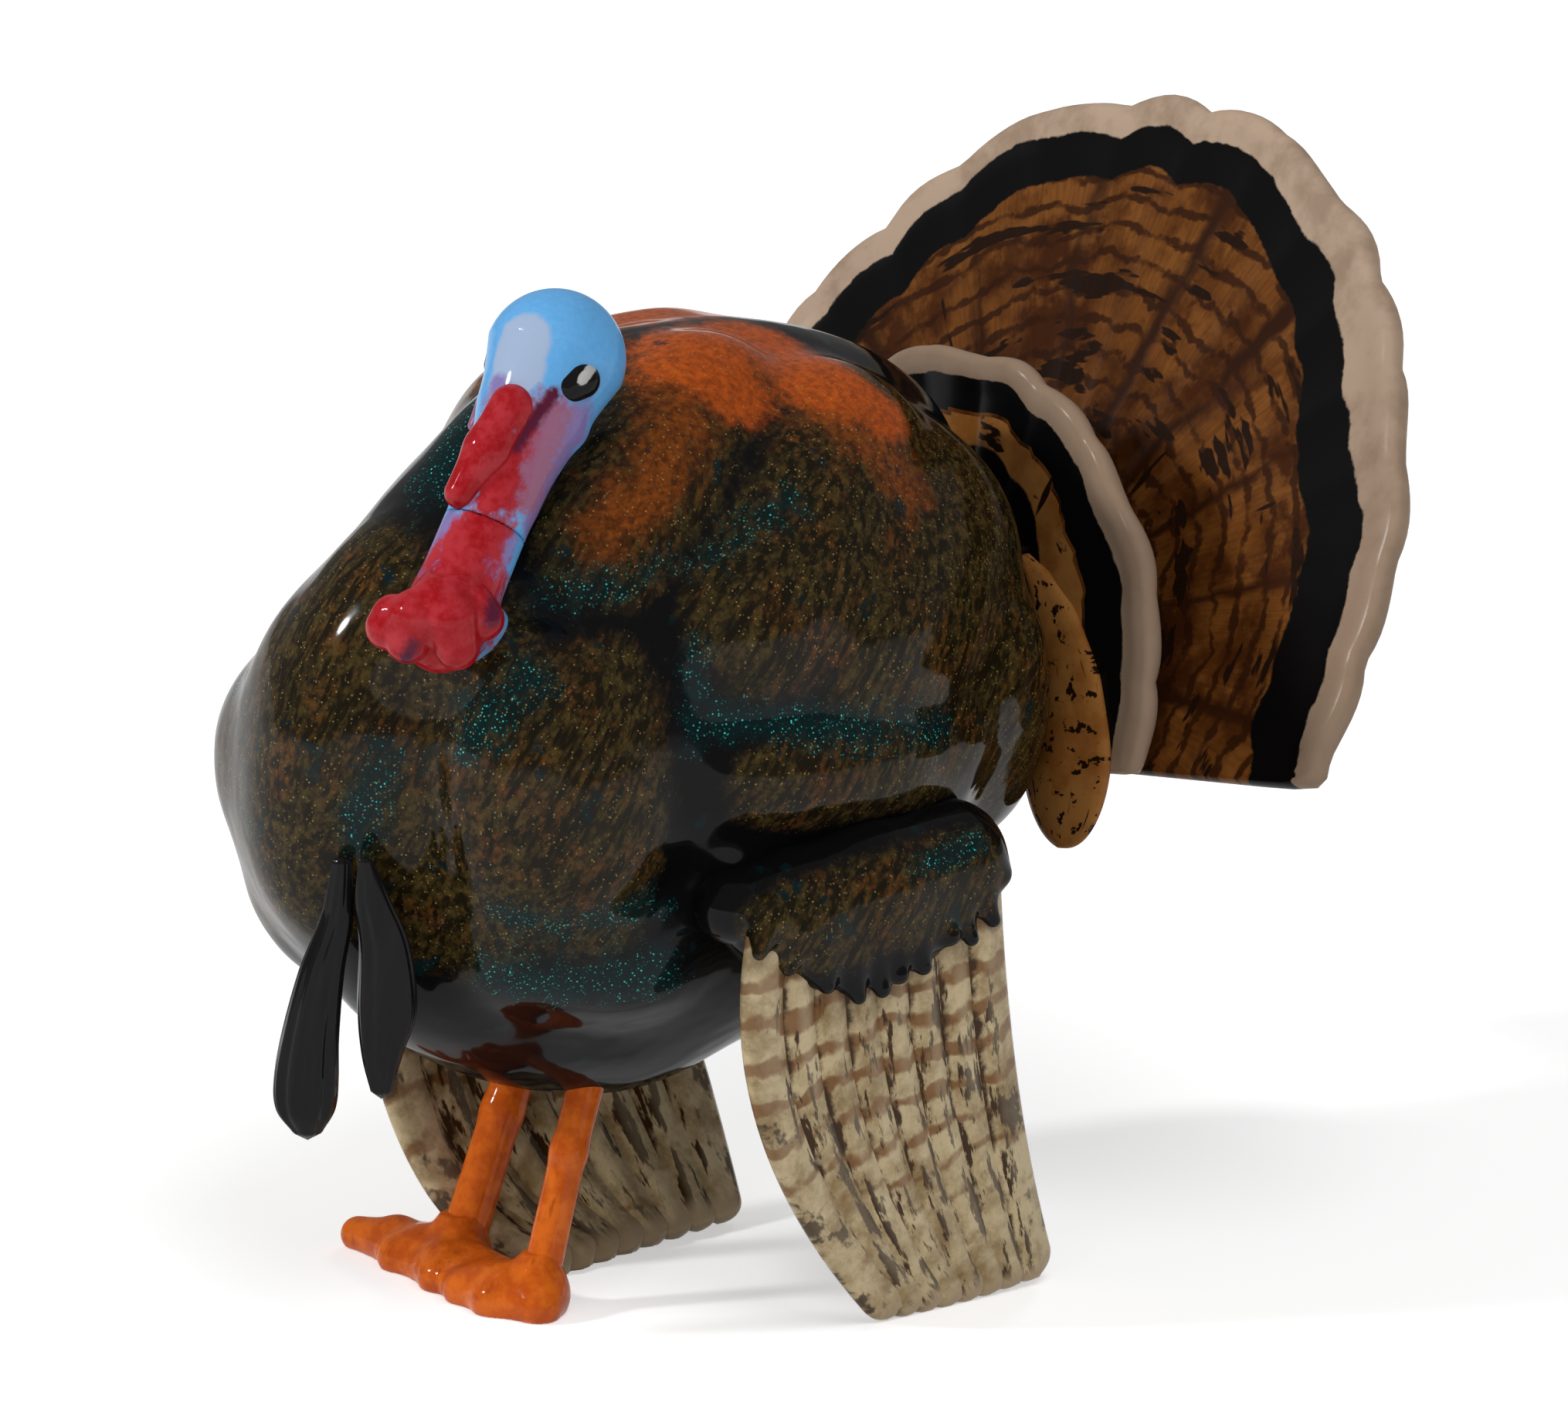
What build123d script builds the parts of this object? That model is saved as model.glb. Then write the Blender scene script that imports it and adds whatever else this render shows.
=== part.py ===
from build123d import *
import math
import os

# A small painted turkey decoy, a tom in full strut, built as pegged and glued castings.
# Millimetres. +Z is up, the bird faces -Y and its left side is +X. The origin lies on the
# ground, in the middle of the sole that joins the two feet.

# ---- body -----------------------------------------------------------------------------
BODY_CENTRE = Vector(0, 29, 75.5)
BODY_HALF = Vector(43, 59, 50)
BODY_TILT = 15.0
SHELL_WALL = 5.0
SEAM_DOWEL_RADIUS = 1.5
SEAM_DOWEL_LENGTH = 10.0
SEAM_DOWEL_DEPTH = 3.0
SEAM_DOWEL_ANGLES = (35, 150, 205, 320)

# ---- neck and head --------------------------------------------------------------------
NECK_BASE = Vector(21.1, -22.1, 96.0)
HEAD_CENTRE = Vector(15.8, 1.8, 128.4)
NECK_SEAM_SHARE = 0.40
NECK_SEAM_RADIUS = 4.7
NECK_FOOT = ((0, -4), (4.0, -3.4), (5.9, -1.6), (6.6, 2), (5.6, 7))
HEAD_RADIUS = 9.7
HEAD_THROAT = ((5.2, 5.0), (7.6, 16.4))
HEAD_CROWN = (7.4, 6.4)
HEAD_GAP = 0.3
SNOOD_ROOT = Vector(-1.0, -8.6, -2.5)
SNOOD_TIP = Vector(1.5, -16.7, -14.0)
SNOOD_ROOT_RADIUS = 2.9
SNOOD_TIP_RADIUS = 1.9
BEAK_ROOT = Vector(-3.0, -6.0, -3.0)
BEAK_TIP = Vector(-4.0, -12.8, -6.5)
BEAK_ROOT_RADIUS = 3.2
BEAK_TIP_RADIUS = 0.9
HEAD_DOWEL_RADIUS = 2.0
BUSH_CLEARANCE = 0.05
BUSH_RADIUS = 3.0
BUSH_LENGTH = 13.0
DOWEL_IN_HEAD = 12.0
EYE_RADIUS = 2.6
EYE_SINK = 7.7
EYE_AIM = Vector(8.6, -3.2, -0.9)
NECK_PEG_RADIUS = 2.0
NECK_PEG_DEPTH = 15.0
NECK_ROOT_RADIUS = 5.6
NECK_ROOT_REACH = 4.0
CARUNCLES = (
    (Vector(-4.8, -4.6, 1.6), 3.9),
    (Vector(-1.6, -3.6, -3.2), 3.7),
    (Vector(3.2, -0.4, -3.6), 3.7),
    (Vector(5.6, 1.6, 0.8), 3.8),
)

# ---- tail -----------------------------------------------------------------------------
FAN_CENTRE = Vector(0, 91.3, 74.4)
FAN_RADIUS = 72.3
FAN_LEAN = 29.0
FAN_THICK = 3.0
FAN_DROOP = 4.0
FAN_FEATHERS = 16
COVERT_CENTRE = Vector(0, 82.4, 72.8)
COVERT_RADIUS = 40.0
COVERT_LEAN = 8.0
COVERT_THICK = 2.4
COVERT_DROOP = 12.0
COVERT_FEATHERS = 12
COVERT_LOBE_X = 28.0
COVERT_LOBE_Y = -11.5
COVERT_LOBE_RADIUS = 9.5
SCALLOP_DEPTH = 1.3
TENON_WIDTH = 15.4
TENON_HEIGHT = 9.4
TENON_Z = 82.0
TENON_FRONT_Y = 65.0
TENON_PAST_COVERTS = 3.0
TENON_GAP = 0.3
SOCKET_WALL = 2.0
SOCKET_FRONT_Y = 63.0
BLOCK_HALF_WIDTH = 13.0
BLOCK_LOW_Z = 70.5
BLOCK_HIGH_Z = 92.0
TAIL_PIN_RADIUS = 1.5
TAIL_PIN_X = 9.5
TAIL_PIN_Z = 88.5
MOVING_GAP = 0.6

# ---- wings ----------------------------------------------------------------------------
WING_THICK = 3.5
WING_FACE_X = 43.5
RIGHT_WING_LENGTH = 70.0
COVERT_PAD_INNER_X = 30.0
COVERT_PAD_X = 47.0
WING_PEG_RADIUS = 2.0
WING_PEG_Z = 55.0
WING_PEG_Y = (22.0, 42.0)
WING_PEG_INNER_X = 31.0
WING_PEG_OUTER_X = 43.5

# ---- legs, feet, beard, rod socket ------------------------------------------------------
LEG_RADIUS = 2.8
LEFT_ANKLE = Vector(10, 3, 5)
LEFT_LEG_TOP = Vector(10, 13.5, 36)
RIGHT_ANKLE = Vector(-10, 6.2, 5)
RIGHT_LEG_TOP = Vector(-10, 20.7, 36)
TOE_ROOT_RADIUS = 2.7
TOE_TIP_RADIUS = 1.9
TOE_LIFT = 1.8
SOLE_THICK = 3.2
BEARD_PEG_RADIUS = 1.4
BEARD_PEG_LENGTH = 7.0
BEARD_PEG_OUT = 2.5
ROD_SOCKET_Y = 31.0
ROD_SOCKET_LOW_Z = 20.0
ROD_SOCKET_TOP_Z = 44.5
ROD_RADIUS = 3.2
ROD_SOCKET_RADIUS = 4.4
ROD_SOCKET_CAP = 1.5
FAR = 160.0


def egg(grow=0.0):
    """The body's outer form, an ellipsoid with its rump carried high, grown or shrunk evenly."""
    half = BODY_HALF + Vector(grow, grow, grow)
    ball = scale(Sphere(1.0), by=(half.X, half.Y, half.Z))
    return Pos(BODY_CENTRE) * Rot(BODY_TILT, 0, 0) * ball


def rod(start, end, radius):
    """A round bar between two points."""
    run = end - start
    bar = Cylinder(radius, run.length, align=(Align.CENTER, Align.CENTER, Align.MIN))
    return Plane(origin=start, z_dir=run) * bar


def tapered(start, end, start_radius, end_radius):
    """A tapering bar between two points with a ball at each end."""
    run = end - start
    align = (Align.CENTER, Align.CENTER, Align.MIN)
    cone = Plane(origin=start, z_dir=run) * Cone(start_radius, end_radius, run.length, align=align)
    return cone + Pos(start) * Sphere(start_radius) + Pos(end) * Sphere(end_radius)


def turned(profile, start, direction):
    """A turned form from radius and height pairs that begin and end on the axis."""
    outline = Polyline(*[(radius, 0, height) for radius, height in profile], close=True)
    return Plane(origin=start, z_dir=direction) * revolve(make_face(outline), Axis.Z)


def biggest(shape):
    """The largest solid of a shape, leaving trimmed-off crumbs out."""
    return max(shape.solids(), key=lambda solid: solid.volume)


def box_between(low, high):
    """A box given by its lowest and highest corners."""
    size = high - low
    corner = (Align.MIN, Align.MIN, Align.MIN)
    return Pos(low) * Box(size.X, size.Y, size.Z, align=corner)


def slab_yz(outline, low_x, high_x):
    """A flat plate with its outline in the YZ plane, between two X planes."""
    face = make_face(Polyline(*[(0, y, z) for y, z in outline], close=True))
    return Pos(low_x, 0, 0) * extrude(face, amount=high_x - low_x, dir=(1, 0, 0))


def polar(radius, degrees):
    """A point of the fan's own plane, from the radius and the angle above the bird's left."""
    return (radius * math.cos(math.radians(degrees)), radius * math.sin(math.radians(degrees)), 0)


def lean_y(centre, lean, height):
    """How far back a leaning plate's middle stands at a height."""
    return centre.Y + (height - centre.Z) * math.tan(math.radians(lean))


def fan_plate(centre, lean, radius, droop, feathers, thick, lobes=()):
    """A fan of feathers cast as one plate. Each feather ends in a shallow arc."""
    turn = math.radians(lean)
    plane = Plane(centre, x_dir=(1, 0, 0), z_dir=(0, -math.cos(turn), math.sin(turn)))
    step = (180.0 + 2.0 * droop) / feathers
    valley = radius - SCALLOP_DEPTH
    arcs = []
    for feather in range(feathers):
        start, middle, end = [
            polar(reach, feather * step + share * step - droop)
            for reach, share in ((valley, 0.0), (radius, 0.5), (valley, 1.0))
        ]
        arcs.append(ThreePointArc(start, middle, end))
    chord = Line(polar(valley, 180.0 + droop), polar(valley, -droop))
    face = make_face(arcs + [chord])
    for lobe_x, lobe_y, lobe_radius in lobes:
        face += Pos(lobe_x, lobe_y) * Circle(lobe_radius)
        face += Pos(-lobe_x, lobe_y) * Circle(lobe_radius)
    return plane * (Pos(0, 0, -thick / 2) * extrude(face, amount=thick))


# ---- neck, head and what is set in them -------------------------------------------------
def neck_direction():
    return (HEAD_CENTRE - NECK_BASE).normalized()


def seam_point():
    return NECK_BASE + (HEAD_CENTRE - NECK_BASE) * NECK_SEAM_SHARE


def make_neck_set():
    """The fixed lower neck with its bush, caruncles and peg, saddled on the breast."""
    axis = neck_direction()
    seam = seam_point()
    length = (seam - NECK_BASE).length
    top = length - HEAD_GAP
    profile = NECK_FOOT + ((NECK_SEAM_RADIUS, top), (0, top))
    peg_aim = (BODY_CENTRE - NECK_BASE).normalized()
    peg = rod(NECK_BASE, NECK_BASE + peg_aim * NECK_PEG_DEPTH, NECK_PEG_RADIUS)
    bush_top = seam - axis * HEAD_GAP
    bush_bar = rod(bush_top - axis * BUSH_LENGTH, bush_top, BUSH_RADIUS)
    bush = bush_bar - rod(bush_top - axis * BUSH_LENGTH, bush_top, HEAD_DOWEL_RADIUS + BUSH_CLEARANCE)
    body = egg()
    form = turned(profile, NECK_BASE, axis)
    root = rod(NECK_BASE, NECK_BASE + peg_aim * NECK_ROOT_REACH, NECK_ROOT_RADIUS)
    neck = (form + root) - body - bush_bar - peg
    caruncles = None
    for offset, radius in CARUNCLES:
        lobe = Pos(NECK_BASE + offset) * Sphere(radius) - form - root - body
        caruncles = lobe if caruncles is None else caruncles + lobe
    return {"neck": neck, "caruncles": caruncles, "neck_bush": bush, "neck_peg": peg}


def make_head_set():
    """The head that turns on its dowel, with snood, beak and eyes."""
    axis = neck_direction()
    seam = seam_point()
    reach = (HEAD_CENTRE - seam).length
    profile = [(NECK_SEAM_RADIUS, 0), *HEAD_THROAT, (HEAD_RADIUS, reach)]
    profile += [(HEAD_CROWN[0], reach + HEAD_CROWN[1]), (0, reach + HEAD_RADIUS)]
    side = Spline(*[(radius, 0, height) for radius, height in profile])
    floor = Line((0, 0, 0), (NECK_SEAM_RADIUS, 0, 0))
    core = Line((0, 0, profile[-1][1]), (0, 0, 0))
    napeward = Plane(origin=seam, x_dir=(0, 1, 0), z_dir=axis)
    form = napeward * revolve(make_face([floor, side, core]), Axis.Z)
    dowel = rod(seam - axis * BUSH_LENGTH, seam + axis * DOWEL_IN_HEAD, HEAD_DOWEL_RADIUS)
    aim = EYE_AIM.normalized()
    right_aim = Vector(-aim.X, aim.Y, aim.Z)
    bead = Rot(0, 90, 0) * Sphere(EYE_RADIUS)
    left_eye = Pos(HEAD_CENTRE + aim * EYE_SINK) * bead
    right_eye = Pos(HEAD_CENTRE + right_aim * EYE_SINK) * bead
    snood_run = (HEAD_CENTRE + SNOOD_ROOT, HEAD_CENTRE + SNOOD_TIP)
    snood = tapered(*snood_run, SNOOD_ROOT_RADIUS, SNOOD_TIP_RADIUS) - form
    beak_run = (HEAD_CENTRE + BEAK_ROOT, HEAD_CENTRE + BEAK_TIP)
    beak = tapered(*beak_run, BEAK_ROOT_RADIUS, BEAK_TIP_RADIUS) - form - snood
    head = form - left_eye - right_eye - dowel
    return {
        "head": head,
        "snood": snood,
        "beak": biggest(beak),
        "left_eye": left_eye,
        "right_eye": right_eye,
        "head_dowel": dowel,
    }


# ---- tail -------------------------------------------------------------------------------
def tenon_box(gap, front_y, back_y):
    """The tenon's bar, or with a gap the hole it slides in."""
    half_width = TENON_WIDTH / 2 + gap
    half_height = TENON_HEIGHT / 2 + gap
    low = Vector(-half_width, front_y, TENON_Z - half_height)
    high = Vector(half_width, back_y, TENON_Z + half_height)
    return box_between(low, high)


def make_tail_set():
    """The tail fan and covert fan, pinned to a block whose tenon slides in the rump's socket."""
    clear_body = egg(MOVING_GAP)
    fan = fan_plate(FAN_CENTRE, FAN_LEAN, FAN_RADIUS, FAN_DROOP, FAN_FEATHERS, FAN_THICK)
    coverts = fan_plate(
        COVERT_CENTRE,
        COVERT_LEAN,
        COVERT_RADIUS,
        COVERT_DROOP,
        COVERT_FEATHERS,
        COVERT_THICK,
        lobes=((COVERT_LOBE_X, COVERT_LOBE_Y, COVERT_LOBE_RADIUS),),
    )
    fan_half = FAN_THICK / 2 / math.cos(math.radians(FAN_LEAN))
    covert_half = COVERT_THICK / 2 / math.cos(math.radians(COVERT_LEAN))
    corners = [
        (lean_y(COVERT_CENTRE, COVERT_LEAN, BLOCK_LOW_Z) + covert_half, BLOCK_LOW_Z),
        (lean_y(COVERT_CENTRE, COVERT_LEAN, BLOCK_HIGH_Z) + covert_half, BLOCK_HIGH_Z),
        (lean_y(FAN_CENTRE, FAN_LEAN, BLOCK_HIGH_Z) - fan_half, BLOCK_HIGH_Z),
        (lean_y(FAN_CENTRE, FAN_LEAN, BLOCK_LOW_Z) - fan_half, BLOCK_LOW_Z),
    ]
    wedge = slab_yz(corners, -BLOCK_HALF_WIDTH, BLOCK_HALF_WIDTH)
    pin_back_y = lean_y(FAN_CENTRE, FAN_LEAN, TAIL_PIN_Z)
    pin_front_y = lean_y(COVERT_CENTRE, COVERT_LEAN, TAIL_PIN_Z)
    pins = None
    for side in (-1, 1):
        pin_start = Vector(side * TAIL_PIN_X, pin_front_y, TAIL_PIN_Z)
        pin_end = Vector(side * TAIL_PIN_X, pin_back_y, TAIL_PIN_Z)
        pin = rod(pin_start, pin_end, TAIL_PIN_RADIUS)
        pins = pin if pins is None else pins + pin
    pins = pins - clear_body
    tenon_back_y = lean_y(COVERT_CENTRE, COVERT_LEAN, TENON_Z) + TENON_PAST_COVERTS
    tenon = tenon_box(0.0, TENON_FRONT_Y, tenon_back_y)
    block = (wedge - clear_body) + tenon - pins
    coverts = coverts - clear_body - tenon - pins
    return {"tail_fan": fan - pins, "covert_fan": coverts, "tail_block": block, "tail_pins": pins}


def make_tail_socket():
    """The rectangular sleeve set in the rump, flush with its skin."""
    outer = tenon_box(TENON_GAP + SOCKET_WALL, SOCKET_FRONT_Y, FAN_CENTRE.Y)
    hole = tenon_box(TENON_GAP, SOCKET_FRONT_Y, FAN_CENTRE.Y)
    return {"tail_socket": (outer - hole) & egg()}, outer


# ---- wings ------------------------------------------------------------------------------
LEFT_WING_OUTLINE = ((12, 60), (13, 40), (17, 24.5), (26, 11), (34, 3), (40, 0), (55, 0), (60, 3))
LEFT_WING_OUTLINE += ((61, 8), (58, 16), (55, 26), (54, 44), (52, 62))
RIGHT_WING_OUTLINE = ((14, 60), (11, 38), (4, 22), (4, 14), (10, 7), (20, 0), (48, 0), (55, 2))
RIGHT_WING_OUTLINE += ((58, 8), (56, 24), (53, 44), (50, 60))
RIGHT_WING_DROP = ((-10, 0), (-17, 14), (-24, 30), (-34, 46), (-40, 56), (-41, 62))
PAD_OUTLINE = ((8, 58), (12, 49), (20, 44.5), (29, 46), (38, 43.5), (46, 46), (53, 51), (56, 60))
PAD_OUTLINE += ((50, 68), (34, 72), (18, 68))


def make_wing_set(side, body):
    """One wing: the long primaries, the covert pad over their roots and two pegs."""
    if side > 0:
        blade = slab_yz(LEFT_WING_OUTLINE, WING_FACE_X - WING_THICK, WING_FACE_X)
    else:
        inner = Spline(*[(x + WING_THICK / 2, 0, z) for x, z in RIGHT_WING_DROP])
        outer = Spline(*[(x - WING_THICK / 2, 0, z) for x, z in reversed(RIGHT_WING_DROP)])
        lid = Line(inner @ 1, outer @ 0)
        foot = Line(outer @ 1, inner @ 0)
        strip = extrude(make_face([inner, lid, outer, foot]), amount=RIGHT_WING_LENGTH, dir=(0, 1, 0))
        blade = strip & slab_yz(RIGHT_WING_OUTLINE, -FAR, 0)
    blade = blade - body
    pad = slab_yz(PAD_OUTLINE, COVERT_PAD_INNER_X, COVERT_PAD_X)
    pad = pad if side > 0 else mirror(pad, Plane.YZ)
    pegs = None
    for peg_y in WING_PEG_Y:
        start = Vector(side * WING_PEG_INNER_X, peg_y, WING_PEG_Z)
        end = Vector(side * WING_PEG_OUTER_X, peg_y, WING_PEG_Z)
        peg = rod(start, end, WING_PEG_RADIUS)
        pegs = peg if pegs is None else pegs + peg
    name = "left" if side > 0 else "right"
    blade = biggest(blade - pegs)
    return {
        f"{name}_wing_primaries": blade,
        f"{name}_wing_coverts": biggest(pad - body - blade - pegs),
        f"{name}_wing_pegs": pegs,
    }


# ---- legs and feet ----------------------------------------------------------------------
LEFT_TOE_TIPS = ((13.5, 0), (7, -2.5), (0.5, -2))
RIGHT_TOE_TIPS = ((-27.5, 3.2), (-16.5, 0.8), (-6, -1))
SOLE_OUTLINE = ((-13, 9.5), (12, 7), (13, 1), (1, -2.5), (-16, 0.5))


def make_leg_set():
    """Two pegged legs on a pair of feet cast in one piece, with three short toes each."""
    feet = None
    for ankle, tips in ((LEFT_ANKLE, LEFT_TOE_TIPS), (RIGHT_ANKLE, RIGHT_TOE_TIPS)):
        root = Vector(ankle.X, ankle.Y, TOE_LIFT)
        for tip_x, tip_y in tips:
            toe = tapered(root, Vector(tip_x, tip_y, TOE_LIFT), TOE_ROOT_RADIUS, TOE_TIP_RADIUS)
            feet = toe if feet is None else feet + toe
    feet += extrude(make_face(Polyline(*SOLE_OUTLINE, close=True)), amount=SOLE_THICK)
    feet = feet & box_between(Vector(-FAR, -FAR, 0), Vector(FAR, FAR, FAR))
    pieces = {}
    for name, ankle, top in (
        ("left_leg", LEFT_ANKLE, LEFT_LEG_TOP),
        ("right_leg", RIGHT_ANKLE, RIGHT_LEG_TOP),
    ):
        shank = rod(ankle, top, LEG_RADIUS) + Pos(ankle) * Sphere(LEG_RADIUS)
        pieces[name] = shank
        feet = feet - shank
    pieces["feet"] = feet
    return pieces


# ---- beard ------------------------------------------------------------------------------
BEARD_STRANDS = {
    "beard_front": (
        (Vector(8.2, -27.2, 62), 1.8),
        (Vector(6.5, -29.0, 51), 2.7),
        (Vector(5.4, -30.0, 41), 3.5),
        (Vector(5, -30.2, 35), 3.7),
        (Vector(5, -30.2, 30.5), 2.0),
    ),
    "beard_rear": (
        (Vector(12.8, -25.6, 62), 1.8),
        (Vector(12.5, -24.4, 53), 3.0),
        (Vector(12.3, -24.2, 45), 3.1),
        (Vector(12.1, -24.6, 38), 1.8),
        (Vector(12, -24.6, 34.5), 1.0),
    ),
}


def make_beard_set(body):
    """Two hanging strands of breast bristles, each with a peg into the breast, and the pegs alone."""
    strands = {}
    pegs = []
    for name, knots in BEARD_STRANDS.items():
        root = knots[0][0]
        peg_aim = (BODY_CENTRE - root).normalized()
        peg = rod(root - peg_aim * BEARD_PEG_OUT, root + peg_aim * BEARD_PEG_LENGTH, BEARD_PEG_RADIUS)
        strand = Pos(root) * Sphere(knots[0][1])
        for (upper, upper_radius), (lower, lower_radius) in zip(knots, knots[1:]):
            strand += tapered(upper, lower, upper_radius, lower_radius)
        strands[name] = (strand - body) + peg
        pegs.append(peg)
    strands["beard_rear"] = strands["beard_rear"] - strands["beard_front"]
    return strands, pegs


# ---- the whole bird ---------------------------------------------------------------------
def make_rod_socket():
    """The blind sleeve in the belly that takes a ground rod or a display rod."""
    mouth = Vector(0, ROD_SOCKET_Y, ROD_SOCKET_LOW_Z)
    top = Vector(0, ROD_SOCKET_Y, ROD_SOCKET_TOP_Z)
    bar = rod(mouth, top + Vector(0, 0, ROD_SOCKET_CAP), ROD_SOCKET_RADIUS)
    return {"rod_socket": (bar & egg()) - rod(mouth, top, ROD_RADIUS)}, bar


def make_seam_dowels():
    """Short dowels that line the two body halves up, set in the thickness of the wall."""
    dowels = None
    middle_y = BODY_HALF.Y - SEAM_DOWEL_DEPTH
    middle_z = BODY_HALF.Z - SEAM_DOWEL_DEPTH
    frame = Pos(BODY_CENTRE) * Rot(BODY_TILT, 0, 0)
    for angle in SEAM_DOWEL_ANGLES:
        spot_y = middle_y * math.cos(math.radians(angle))
        spot_z = middle_z * math.sin(math.radians(angle))
        bar = Rot(0, 90, 0) * Cylinder(SEAM_DOWEL_RADIUS, SEAM_DOWEL_LENGTH)
        dowel = frame * (Pos(0, spot_y, spot_z) * bar)
        dowels = dowel if dowels is None else dowels + dowel
    return {"seam_dowels": dowels}


def make_shells(holes):
    """The hollow body in a left and a right half, with every hole its pegs need."""
    shell = egg() - egg(-SHELL_WALL)
    for hole in holes:
        shell = shell - hole
    left = shell & box_between(Vector(0, -FAR, -FAR), Vector(FAR, FAR, FAR))
    right = shell & box_between(Vector(-FAR, -FAR, -FAR), Vector(0, FAR, FAR))
    return {"body_left_shell": left, "body_right_shell": right}


body_form = egg()
pieces = {}
pieces.update(make_neck_set())
pieces.update(make_head_set())
pieces.update(make_tail_set())
socket_piece, socket_hole = make_tail_socket()
pieces.update(socket_piece)
pieces.update(make_wing_set(1, body_form))
pieces.update(make_wing_set(-1, body_form))
pieces.update(make_leg_set())
beard_pieces, beard_pegs = make_beard_set(body_form)
pieces.update(beard_pieces)
rod_piece, rod_hole = make_rod_socket()
pieces.update(rod_piece)
pieces.update(make_seam_dowels())
pegged = (
    "neck_peg",
    "left_wing_pegs",
    "right_wing_pegs",
    "left_leg",
    "right_leg",
    "seam_dowels",
)
holes = [pieces[name] for name in pegged] + beard_pegs + [socket_hole, rod_hole]
pieces.update(make_shells(holes))

os.makedirs("parts", exist_ok=True)
for node, piece in pieces.items():
    export_step(piece, f"parts/{node}.step")
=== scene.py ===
import math

import bpy
import numpy as np
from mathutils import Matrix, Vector


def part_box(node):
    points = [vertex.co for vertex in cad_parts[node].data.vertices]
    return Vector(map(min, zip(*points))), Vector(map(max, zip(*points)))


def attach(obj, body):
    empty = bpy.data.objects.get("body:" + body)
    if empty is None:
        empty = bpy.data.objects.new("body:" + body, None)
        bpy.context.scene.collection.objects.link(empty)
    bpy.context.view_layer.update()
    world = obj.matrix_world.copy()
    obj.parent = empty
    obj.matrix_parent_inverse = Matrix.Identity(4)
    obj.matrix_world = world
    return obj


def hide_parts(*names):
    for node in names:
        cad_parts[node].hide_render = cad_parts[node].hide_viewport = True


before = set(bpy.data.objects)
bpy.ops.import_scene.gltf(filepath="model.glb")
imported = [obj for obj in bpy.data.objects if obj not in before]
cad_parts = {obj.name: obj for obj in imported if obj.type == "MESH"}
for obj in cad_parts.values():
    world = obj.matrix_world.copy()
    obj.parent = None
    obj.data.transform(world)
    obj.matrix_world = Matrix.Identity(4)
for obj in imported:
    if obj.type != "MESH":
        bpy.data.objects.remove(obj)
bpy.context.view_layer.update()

# ---- Studio ----------------------------------------------------------------------------------
# The bird stands on a plain pale table, seen from its left front through a long lens. A
# window lamp on the left puts the glints in the lacquer. A broad lamp from above, a low
# one in front and one behind leave no glint and only light the paint.

VIEW_AZIMUTH = 50.0
VIEW_ELEVATION = 15.0
VIEW_DISTANCE = 2.5
VIEW_FAR = 20.0
VIEW_WIDTH = 0.203
AIM = Vector((0.0119, 0.0429, 0.0748))
SENSOR_WIDTH = 36.0
LAMP_DISTANCE = 3.0
FLOOR_HALF = 9000
FLOOR_LIFT = 0.45
LAMP_UNIT = math.pi * math.pi * LAMP_DISTANCE ** 2
WORLD_LIGHT = 0.27
TABLE_WHITE = (0.86, 0.86, 0.86, 1)
WHITE = (1, 1, 1, 1)
MM = 0.001
MM_PER_M = 1000


def direction_from(azimuth, elevation):
    """Unit vector towards a place. Azimuth 0 lies in front of the breast, 90 on the bird's left."""
    turn = math.radians(azimuth)
    rise = math.radians(elevation)
    return Vector((math.sin(turn) * math.cos(rise), -math.cos(turn) * math.cos(rise), math.sin(rise)))


def place_looking(thing, spot, target):
    thing.location = spot
    thing.rotation_euler = (target - spot).to_track_quat("-Z", "Y").to_euler()
    bpy.context.scene.collection.objects.link(thing)


def add_lamp(name, azimuth, elevation, size, share, in_gloss=True):
    """A round lamp that alone would light a facing white sheet to that share of full white."""
    light = bpy.data.lights.new(name, "AREA")
    light.shape = "DISK"
    light.size = size
    light.energy = share * LAMP_UNIT
    lamp = bpy.data.objects.new(name, light)
    lamp.visible_glossy = in_gloss
    place_looking(lamp, AIM + direction_from(azimuth, elevation) * LAMP_DISTANCE, AIM)


camera_data = bpy.data.cameras.new("camera")
camera_data.sensor_width = SENSOR_WIDTH
camera_data.lens = SENSOR_WIDTH * VIEW_DISTANCE / VIEW_WIDTH
camera_data.clip_end = VIEW_FAR
camera = bpy.data.objects.new("camera", camera_data)
place_looking(camera, AIM + direction_from(VIEW_AZIMUTH, VIEW_ELEVATION) * VIEW_DISTANCE, AIM)
bpy.context.scene.camera = camera
bpy.context.scene.view_settings.view_transform = "Standard"

add_lamp("window_lamp", -28, 32, 0.35, 0.42)
add_lamp("fill_lamp", 75, 58, 1.8, 0.38, in_gloss=False)
add_lamp("low_lamp", 32, 7, 1.2, 0.13, in_gloss=False)
add_lamp("back_lamp", 215, 24, 0.5, 0.12, in_gloss=False)

world = bpy.data.worlds.new("studio")
bpy.context.scene.world = world
world.use_nodes = True
background = world.node_tree.nodes["Background"]
background.inputs["Color"].default_value = WHITE
background.inputs["Strength"].default_value = WORLD_LIGHT


def make_mesh(name, points, faces):
    """A smooth-shaded mesh from points in millimetres."""
    mesh = bpy.data.meshes.new(name)
    mesh.from_pydata((np.asarray(points) * MM).tolist(), [], faces)
    mesh.polygons.foreach_set("use_smooth", [True] * len(mesh.polygons))
    mesh.update()
    piece = bpy.data.objects.new(name, mesh)
    bpy.context.scene.collection.objects.link(piece)
    return piece


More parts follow.
